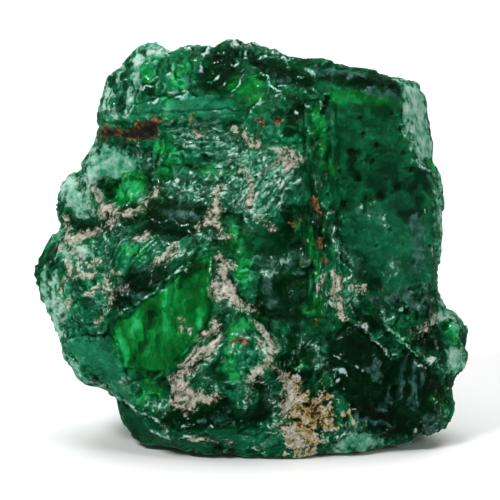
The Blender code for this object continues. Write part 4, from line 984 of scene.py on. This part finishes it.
def relief(places, runs, marks):
    """How far each point is raised, in millimetres."""
    rough = 1.0 - fraction(marks["smooth"], *SMOOTH_RIM)
    clay = fraction(marks["clay"], *CLAY_RIM)
    chips = sampled(chip_pattern(*CHIPS), places)
    splinters = sampled(chip_pattern(*SPLINTERS), runs)
    flakes = sampled(chip_pattern(*FLAKES), runs)
    waves = sampled(cloud_pattern(*WAVES), places)
    grain = sampled(cloud_pattern(*GRAINS), places)
    bare = 1.0 - FILLED_BY_CLAY * clay
    height = CHIP_HEIGHT * chips * rough * bare
    height += SPLINTER_HEIGHT * splinters * left_where(rough, SPLINTERS_ON_SMOOTH) * bare
    height += FLAKE_HEIGHT * flakes * left_where(rough, FLAKES_ON_SMOOTH)
    height += WAVE_HEIGHT * waves * left_where(rough, WAVES_ON_SMOOTH)
    height += GRAIN_HEIGHT * grain * np.maximum(clay, GRAIN_OFF_CLAY * rough)
    height += ripple_heights(places, waves) * (1.0 - clay)
    height += CREST_HEIGHT * fraction(marks["crest"], *CREST_RIM)
    height -= CREASE_DEPTH * fraction(marks["crease"], *CREASE_RIM)
    height += SWELL - CLAY_DEPTH * clay - PIT_DEPTH * marks["pits"]
    return height


def towards_viewer(directions):
    """How far each direction points towards the viewer: 1 for straight at them, 0 for sideways."""
    return directions[:, 2] * math.sin(VIEW_TILT) - directions[:, 1] * math.cos(VIEW_TILT)


def bulge(positions, normals, edges, rounds):
    """How far each point stands out over the middle of its surroundings, in millimetres."""
    middle = smoothed(positions, edges, rounds)
    return np.einsum("ij,ij->i", positions - middle, normals) / MM


def dressed_stone(node):
    stone = fine_copy(node, "dressed_emerald")
    mesh = stone.data
    edges = edge_pairs(mesh)
    positions = reached_out(smoothed(positions_of(mesh), edges, SMOOTH_ROUNDS))
    set_positions(mesh, positions)
    places = as_seen(positions)
    ragged = strayed(places)
    runs = run_places(ragged)
    marks = {name: depth_on_stone(ragged, name) for name in FRONT}
    marks["pits"] = pit_depths(places)
    # How far each face turns away from the viewer; the material paints a sheen on such sides.
    marks["side"] = 1.0 - fraction(towards_viewer(normals_of(mesh)), *SIDE_TURN)
    height = relief(places, runs, marks) * fraction(positions[:, 2] / MM, *FOOT_FADE)
    positions = positions + normals_of(mesh) * height[:, None] * MM
    positions[:, 2] = np.maximum(positions[:, 2], 0.0)
    set_positions(mesh, positions)
    normals = normals_of(mesh)
    marks["ridge"] = bulge(positions, normals, edges, RIDGE_ROUNDS) / RIDGE_HEIGHT
    marks["edge"] = bulge(positions, normals, edges, EDGE_ROUNDS) / EDGE_HEIGHT
    for name, values in marks.items():
        store(mesh, name, values)
    store_places(mesh, "run", runs)
    return stone


class Level:
    """A number that varies over the surface: a shader socket that takes part in arithmetic."""

    def __init__(self, recipe, socket):
        self.recipe = recipe
        self.socket = socket

    def joined(self, operation, first, second):
        return self.recipe.node("ShaderNodeMath", {"operation": operation}, {0: first, 1: second})

    def __add__(self, other):
        return self.joined("ADD", self, other)

    __radd__ = __add__

    def __sub__(self, other):
        return self.joined("SUBTRACT", self, other)

    def __rsub__(self, other):
        return self.joined("SUBTRACT", other, self)

    def __mul__(self, other):
        return self.joined("MULTIPLY", self, other)

    __rmul__ = __mul__

    def highest(self, other):
        return self.joined("MAXIMUM", self, other)


class Recipe:
    """A material and the nodes that it is made of."""

    def __init__(self, name):
        self.material = bpy.data.materials.new(name)
        self.material.use_nodes = True
        self.tree = self.material.node_tree
        self.tree.nodes.clear()
        texture = self.node("ShaderNodeTexCoord", {}, {}, "Object")
        self.stone_mm = self.scaled(texture, 1.0 / MM)

    def node(self, kind, settings, sockets, result=0):
        """Adds a node with its settings and what its sockets hold, and gives one of its outputs."""
        made = self.tree.nodes.new(kind)
        for setting, value in settings.items():
            if setting == "stops":
                self.set_stops(made.color_ramp, value)
            else:
                setattr(made, setting, value)
        for socket, value in sockets.items():
            if isinstance(value, Level):
                self.tree.links.new(value.socket, made.inputs[socket])
            else:
                made.inputs[socket].default_value = value
        return Level(self, made.outputs[result]) if made.outputs else made

    def set_stops(self, ramp, stops):
        while len(ramp.elements) < len(stops):
            ramp.elements.new(1.0)
        for element, (position, colour) in zip(ramp.elements, stops):
            element.position = position
            element.color = (*colour, 1.0)

    def scaled(self, vector, factor):
        sockets = {"Vector": vector, "Scale": factor}
        return self.node("ShaderNodeVectorMath", {"operation": "SCALE"}, sockets)

    def mark(self, name):
        return self.node("ShaderNodeAttribute", {"attribute_name": name}, {}, "Fac")

    def place_mark(self, name):
        return self.node("ShaderNodeAttribute", {"attribute_name": name}, {}, "Vector")

    def cloud(self, per_mm, detail=3.0, roughness=0.55, place=None):
        """A soft pattern about 0."""
        sockets = {
            "Vector": place or self.stone_mm, "Scale": per_mm, "Detail": detail, "Roughness": roughness}
        return self.node("ShaderNodeTexNoise", {}, sockets, "Fac") - 0.5

    def bent(self, place, distance, per_mm):
        """A place, pushed aside by a soft pattern."""
        sockets = {"Vector": place, "Scale": per_mm, "Detail": 2.0}
        push = self.node("ShaderNodeTexNoise", {}, sockets, "Color")
        moved = self.scaled(push, distance)
        return self.node("ShaderNodeVectorMath", {"operation": "ADD"}, {0: place, 1: moved})

    def cells(self, per_mm, place, feature="F1", result="Distance"):
        sockets = {"Vector": place, "Scale": per_mm}
        return self.node("ShaderNodeTexVoronoi", {"feature": feature}, sockets, result)

    def shards(self, per_mm, place):
        """Cells that each have a number of their own, about 0."""
        return self.cells(per_mm, place, result="Color") - 0.5

    def between(self, value, low, high, at_low=0.0, at_high=1.0):
        """Takes low..high to at_low..at_high, eased and clamped."""
        sockets = {
            "Value": value, "From Min": low, "From Max": high, "To Min": at_low, "To Max": at_high}
        return self.node("ShaderNodeMapRange", {"interpolation_type": "SMOOTHSTEP"}, sockets)

    def blended(self, factor, first, second):
        """Two colours, mixed by a factor."""
        sockets = {0: factor, 6: first, 7: second}
        return self.node("ShaderNodeMix", {"data_type": "RGBA"}, sockets, 2)

    def shaded(self, stops, value):
        """A colour from a ramp of (position, colour) stops."""
        return self.node("ShaderNodeValToRGB", {"stops": stops}, {"Fac": value}, "Color")

    def bumped(self, height, depth):
        """Surface directions from a height of 0 to 1 that stands depth millimetres."""
        sockets = {"Height": height, "Distance": depth * MM, "Strength": 1.0}
        return self.node("ShaderNodeBump", {}, sockets)

    def finish(self, sockets):
        return self.node("ShaderNodeBsdfPrincipled", {}, sockets)

    def covered(self, factor, under, over):
        return self.node("ShaderNodeMixShader", {}, {0: factor, 1: under, 2: over})

    def done(self, surface, volume=None):
        sockets = {"Surface": surface}
        if volume:
            sockets["Volume"] = volume
        self.node("ShaderNodeOutputMaterial", {}, sockets)
        return self.material


class Patterns:
    """The patterns that the emerald's finishes share, each about 0, and the stone's own shape."""

    def __init__(self, recipe):
        run = recipe.bent(recipe.place_mark("run"), 0.5, 1.6)
        self.clouds = recipe.cloud(0.5, detail=4.0)
        self.flecks = recipe.cloud(2.2, detail=4.0, roughness=0.62)
        self.specks = recipe.cloud(7.0, detail=3.0, roughness=0.65)
        self.dust = recipe.cloud(13.0, detail=2.0, roughness=0.6)
        self.strands = recipe.cloud(2.4, detail=4.0, roughness=0.6, place=run)
        self.shards = recipe.shards(2.4, run)
        self.flakes = recipe.shards(6.0, run)
        seams = recipe.cells(2.4, run, feature="DISTANCE_TO_EDGE")
        self.cracks = recipe.between(seams, 0.0, 0.07, 1.0, 0.0)
        # Ridges and edges get a painted highlight, grooves and crevices painted shade.
        self.ridge = recipe.between(recipe.mark("ridge"), 0.1, 1.0)
        self.groove = recipe.between(recipe.mark("ridge"), -0.1, -1.0)
        self.edge = recipe.between(recipe.mark("edge"), 0.1, 1.0)
        self.crevice = recipe.between(recipe.mark("edge"), -0.1, -1.0)
        self.furrows = recipe.bumped(self.strands + 0.3 * self.specks + 0.12 * self.flakes, 0.12)


def green_marks(recipe, pattern):
    """How far each kind of green has set in."""
    dark = recipe.mark("dark") + 0.8 * pattern.flecks + 0.3 * pattern.shards
    return {
        "smooth": recipe.between(recipe.mark("smooth"), -0.1, 0.3),
        # Among them the painted glow, the painted light of the lit parts and the painted shade of the dark
        # parts.
        "vivid": recipe.between(recipe.mark("vivid") + pattern.flecks, -0.25, 0.25),
        "lit": recipe.between(recipe.mark("lit") + 0.8 * pattern.flecks, -0.15, 0.2),
        "dark": recipe.between(dark, -0.12, 0.12),
        "teal": recipe.between(recipe.mark("teal") + pattern.flecks, -0.16, 0.16, 0.0, 0.75),
        "light": recipe.between(recipe.mark("light") + pattern.flecks, -0.5, 0.5),
        "crease": recipe.between(recipe.mark("crease"), -0.05, 0.04),
    }


def green_tone(recipe, pattern, green):
    """How light the green is, with painted light and shade in it. Teal, smooth and glowing parts are calmer.
    """
    calm = 1.0 - 0.6 * green["teal"].highest(0.7 * green["smooth"]).highest(0.8 * green["vivid"])
    texture = 0.95 * pattern.strands + 0.17 * pattern.shards + 0.08 * pattern.flakes
    texture = texture + 0.12 * pattern.specks
    tone = 0.51 + 0.5 * pattern.clouds + calm * texture
    # Painted glow in the glowing and lit parts; the light parts are a lighter green.
    tone = tone + 0.16 * green["light"] + 0.1 * green["vivid"] + 0.24 * green["lit"]
    # Painted highlight on ridges and edges, painted shade in grooves and crevices.
    tone = tone + 0.14 * pattern.ridge + 0.1 * pattern.edge
    tone = tone - 0.12 * pattern.groove - 0.16 * pattern.crevice
    # Painted sheen on the sides turned away from the viewer; the pits are darker.
    tone = tone + 0.08 * recipe.mark("side") - 0.3 * recipe.mark("pits")
    # Painted shade in the creases and in the dark hollows and under ledges.
    return tone - 0.25 * green["crease"] - 0.26 * green["dark"]


def clear_stone(recipe, pattern):
    """Clear crystal, and the green that its inside throws back."""
    green = green_marks(recipe, pattern)
    tone = green_tone(recipe, pattern, green)
    colour = recipe.shaded(BODY_STOPS, tone)
    # The painted glow's greens, where light seems to shine from within.
    colour = recipe.blended(green["vivid"], colour, recipe.shaded(PAINTED_GLOW_STOPS, tone))
    colour = recipe.blended(green["teal"], colour, recipe.shaded(TEAL_STOPS, tone))
    glints = recipe.between(pattern.edge + 0.6 * pattern.ridge + pattern.flakes, 0.7, 1.1, 0.0, 0.8)
    body = recipe.finish({
        "Base Color": colour, "Roughness": recipe.between(pattern.flecks, -0.2, 0.25, 0.15, 0.45),
        "Specular IOR Level": 0.12, "Coat Weight": glints, "Coat Roughness": 0.08,
        "Normal": pattern.furrows})
    polish = recipe.between(pattern.flecks + 0.2 * green["smooth"], -0.15, 0.25, 0.14, 0.03)
    crystal = recipe.finish({
        "Base Color": recipe.shaded(CRYSTAL_STOPS, tone), "Roughness": polish,
        "Transmission Weight": 1.0, "IOR": EMERALD_IOR, "Specular Tint": EMERALD_SHEEN,
        "Coat Weight": glints, "Coat Roughness": 0.05, "Normal": pattern.furrows})
    cloudiness = 0.52 + 1.2 * pattern.clouds + 0.45 * pattern.shards + 0.3 * recipe.mark("side")
    cloudiness = cloudiness + 0.2 * green["vivid"] + 0.3 * green["teal"] - 0.25 * green["dark"]
    return recipe.covered(recipe.between(cloudiness, 0.0, 1.0, 0.15, 0.9), crystal, body)


def with_pale(recipe, pattern, stone):
    """Adds the milky parts: veils, and painted light where the stone is thin."""
    light = recipe.between(recipe.mark("light"), -0.2, 0.3, 0.0, 0.18)
    tone = 0.54 + 0.7 * pattern.strands + 1.1 * pattern.flecks + 0.8 * pattern.clouds + light
    # Darker in the grooves, a painted shade.
    pale = recipe.finish({
        "Base Color": recipe.shaded(PALE_STOPS, tone - 0.12 * pattern.groove), "Roughness": 0.3,
        "Specular IOR Level": 0.15, "Normal": pattern.furrows})
    bare = recipe.between(recipe.mark("vivid").highest(recipe.mark("dark")) + pattern.flecks, -0.2, 0.2)
    inside = recipe.mark("pale") + 1.5 * pattern.flecks + 0.8 * pattern.strands + pattern.clouds
    return recipe.covered(recipe.between(inside - 1.3 * bare, -0.12, 0.3, 0.0, 0.85), stone, pale)


def with_frost(recipe, pattern, stone):
    """Adds the finely broken ground, where whole flakes are pale, and pale edges, partly rubbed and partly
    painted highlight.
    """
    tone = 0.47 + 0.5 * pattern.flakes + 1.4 * pattern.specks + 1.2 * pattern.strands
    # Painted highlight on ridges, painted shade in grooves.
    tone = tone + 0.3 * pattern.ridge - 0.3 * pattern.groove
    frost = recipe.finish({
        "Base Color": recipe.shaded(FROST_STOPS, tone), "Roughness": 0.55,
        "Specular IOR Level": 0.1, "Normal": pattern.furrows})
    inside = 0.5 * recipe.mark("frost") - 0.3 + 1.5 * pattern.strands + 0.5 * pattern.shards
    inside = inside + 0.3 * pattern.flakes + 0.1 * pattern.cracks + 0.08 * pattern.ridge
    # Pale edges: partly rubbed ground, partly a painted highlight along ridges and edges.
    rubbing_and_highlight = 0.5 * pattern.ridge + 0.5 * pattern.edge + 1.6 * pattern.specks + 0.8 * pattern.flecks
    haze = recipe.between(recipe.mark("frost") + 1.5 * pattern.flecks, -0.25, 0.4, 0.0, 0.3)
    flaking = recipe.between(inside, -0.04, 0.05, 0.0, 0.9)
    rubbed_and_highlit = recipe.between(rubbing_and_highlight, 1.0, 1.2, 0.0, 0.6)
    return recipe.covered(flaking.highest(rubbed_and_highlit).highest(haze), stone, frost)


def with_gleams(recipe, pattern, stone):
    """Adds the painted, greyish reflection of the room on smooth breaks."""
    tone = 0.52 + 1.4 * pattern.strands + 0.6 * pattern.flecks
    gleam = recipe.finish({
        "Base Color": recipe.shaded(GLEAM_STOPS, tone), "Roughness": 0.12, "Specular IOR Level": 0.2,
        "Normal": pattern.furrows})
    inside = recipe.mark("gleam") + 0.4 * pattern.flecks + 0.9 * pattern.strands
    return recipe.covered(recipe.between(inside, -0.1, 0.12, 0.0, 0.75), stone, gleam)


def with_painted_glints(recipe, pattern, stone):
    """Adds the thin glossy ridges, with a painted glint in their pale colour."""
    # Thicker crests get whiter: a stronger painted glint.
    thick = recipe.between(recipe.mark("crest"), 0.02, 0.1, 0.0, 0.3)
    tone = 0.42 + 2.4 * pattern.flecks + pattern.specks + thick
    crest = recipe.finish({
        "Base Color": recipe.shaded(PAINTED_GLINT_STOPS, tone),
        "Roughness": 0.25, "Specular IOR Level": 0.5, "Coat Weight": 0.6, "Coat Roughness": 0.1,
        "Normal": pattern.furrows})
    inside = recipe.mark("crest") - 0.03 + 0.2 * pattern.flecks + 0.16 * pattern.specks
    return recipe.covered(recipe.between(inside, -0.03, 0.03, 0.0, 0.9), stone, crest)


def with_iron(recipe, pattern, stone):
    """Adds the iron stain, rusty at its border and nearly black inside."""
    core = recipe.between(recipe.mark("iron_core") + 0.6 * pattern.flecks, -0.06, 0.06)
    deep = recipe.between(recipe.mark("iron"), 0.02, 0.2)
    tone = 0.6 + 2.2 * pattern.flecks + 1.4 * pattern.specks - 0.12 * deep - 0.3 * core
    iron = recipe.finish({
        "Base Color": recipe.shaded(IRON_STOPS, tone), "Roughness": 0.5, "Specular IOR Level": 0.2,
        "Normal": pattern.furrows})
    inside = recipe.mark("iron") + 0.8 * pattern.flecks + 0.4 * pattern.strands + 0.4 * pattern.specks
    return recipe.covered(recipe.between(inside, -0.07, 0.07, 0.0, 0.95), stone, iron)


def with_ochre(recipe, pattern, stone):
    """Adds the sandy rust."""
    tone = 0.53 + 2.2 * pattern.flecks + 1.6 * pattern.specks + pattern.strands + 1.2 * pattern.dust
    ochre = recipe.finish({
        "Base Color": recipe.shaded(OCHRE_STOPS, tone), "Roughness": 0.85, "Specular IOR Level": 0.2,
        "Normal": recipe.bumped(pattern.flecks + pattern.specks, 0.09)})
    inside = 0.5 * recipe.mark("ochre") + 1.6 * pattern.flecks + 0.4 * pattern.shards + pattern.strands
    return recipe.covered(recipe.between(inside, -0.03, 0.04, 0.0, 0.95), stone, ochre)


def with_clay(recipe, pattern, stone):
    """Adds the crumbly clay."""
    crumbs = 1.1 * pattern.specks + 2.2 * pattern.strands + 0.7 * pattern.dust + 0.12 * pattern.flakes
    thick = recipe.between(recipe.mark("clay"), -0.02, 0.22, 0.0, 0.17)
    # Painted highlight on the clay's ridges, painted shade in its grooves.
    tone = 0.47 + thick + crumbs + 0.1 * pattern.ridge - 0.25 * pattern.groove
    clay = recipe.finish({
        "Base Color": recipe.shaded(CLAY_STOPS, tone), "Roughness": 0.92, "Specular IOR Level": 0.2,
        "Normal": recipe.bumped(crumbs, 0.07)})
    inside = recipe.mark("clay") + 0.9 * pattern.strands + 0.6 * pattern.specks + 0.5 * pattern.dust
    return recipe.covered(recipe.between(inside, -0.1, 0.12, 0.0, 0.92), stone, clay)


def emerald_material():
    recipe = Recipe("emerald")
    pattern = Patterns(recipe)
    stone = clear_stone(recipe, pattern)
    for layer in (with_pale, with_gleams, with_frost, with_iron, with_ochre, with_clay, with_painted_glints):
        stone = layer(recipe, pattern, stone)
    absorption = recipe.node(
        "ShaderNodeVolumeAbsorption", {},
        {"Color": (*ABSORPTION_COLOUR, 1.0), "Density": ABSORPTION_PER_METRE})
    return recipe.done(stone, absorption)


def floor_material():
    recipe = Recipe("pale floor")
    dust = recipe.cloud(0.02, detail=2.0)
    colour = recipe.shaded(((0.0, (0.93, 0.93, 0.93)), (1.0, (0.96, 0.96, 0.96))), dust + 0.5)
    return recipe.done(recipe.finish({"Base Color": colour, "Roughness": 0.9}))


def lay_floor():
    half = FLOOR_SIZE * MM / 2.0
    height = -FLOOR_DROP * MM
    mesh = bpy.data.meshes.new("floor")
    corners = [
        (-half, -half, height), (half, -half, height), (half, half, height), (-half, half, height)]
    mesh.from_pydata(corners, [], [(0, 1, 2, 3)])
    floor = bpy.data.objects.new("floor", mesh)
    floor.data.materials.append(floor_material())
    floor.visible_glossy = False
    bpy.context.scene.collection.objects.link(floor)


def aimed(item, position, target):
    item.location = position
    item.rotation_euler = (target - position).to_track_quat("-Z", "Y").to_euler()
    bpy.context.scene.collection.objects.link(item)


def hang_light(name, place, size, brightness, mirrored):
    """A square soft light. Its power follows from its size, so its surface is as bright at any size."""
    lamp = bpy.data.lights.new(name, "AREA")
    lamp.size = size * MM
    lamp.energy = brightness * math.pi * lamp.size ** 2
    light = bpy.data.objects.new(name, lamp)
    light.visible_glossy = mirrored
    aimed(light, Vector(place) * MM, Vector((0.0, 0.0, STONE_MIDDLE * MM)))


def set_camera():
    lens = bpy.data.cameras.new("camera")
    lens.sensor_width = SENSOR_WIDTH
    lens.lens = SENSOR_WIDTH * VIEW_DISTANCE / FRAME_WIDTH
    lens.clip_start = 1.0 * MM
    camera = bpy.data.objects.new("camera", lens)
    across, up, _ = VIEW_CENTRE
    aimed(camera, in_space((across, up, VIEW_DISTANCE)), in_space(VIEW_CENTRE))
    bpy.context.scene.camera = camera


def light_studio():
    for settings in LIGHTS:
        hang_light(*settings)
    world = bpy.data.worlds.new("studio air")
    world.use_nodes = True
    background = world.node_tree.nodes["Background"]
    background.inputs["Color"].default_value = (1.0, 1.0, 1.0, 1.0)
    background.inputs["Strength"].default_value = AIR_BRIGHTNESS
    bpy.context.scene.world = world
    bpy.context.scene.view_settings.view_transform = "Standard"


stone_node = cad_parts["rough_emerald"]
stone = dressed_stone(stone_node)
stone.data.materials.clear()
stone.data.materials.append(emerald_material())
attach(stone, "root")
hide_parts("rough_emerald")

lay_floor()
set_camera()
light_studio()
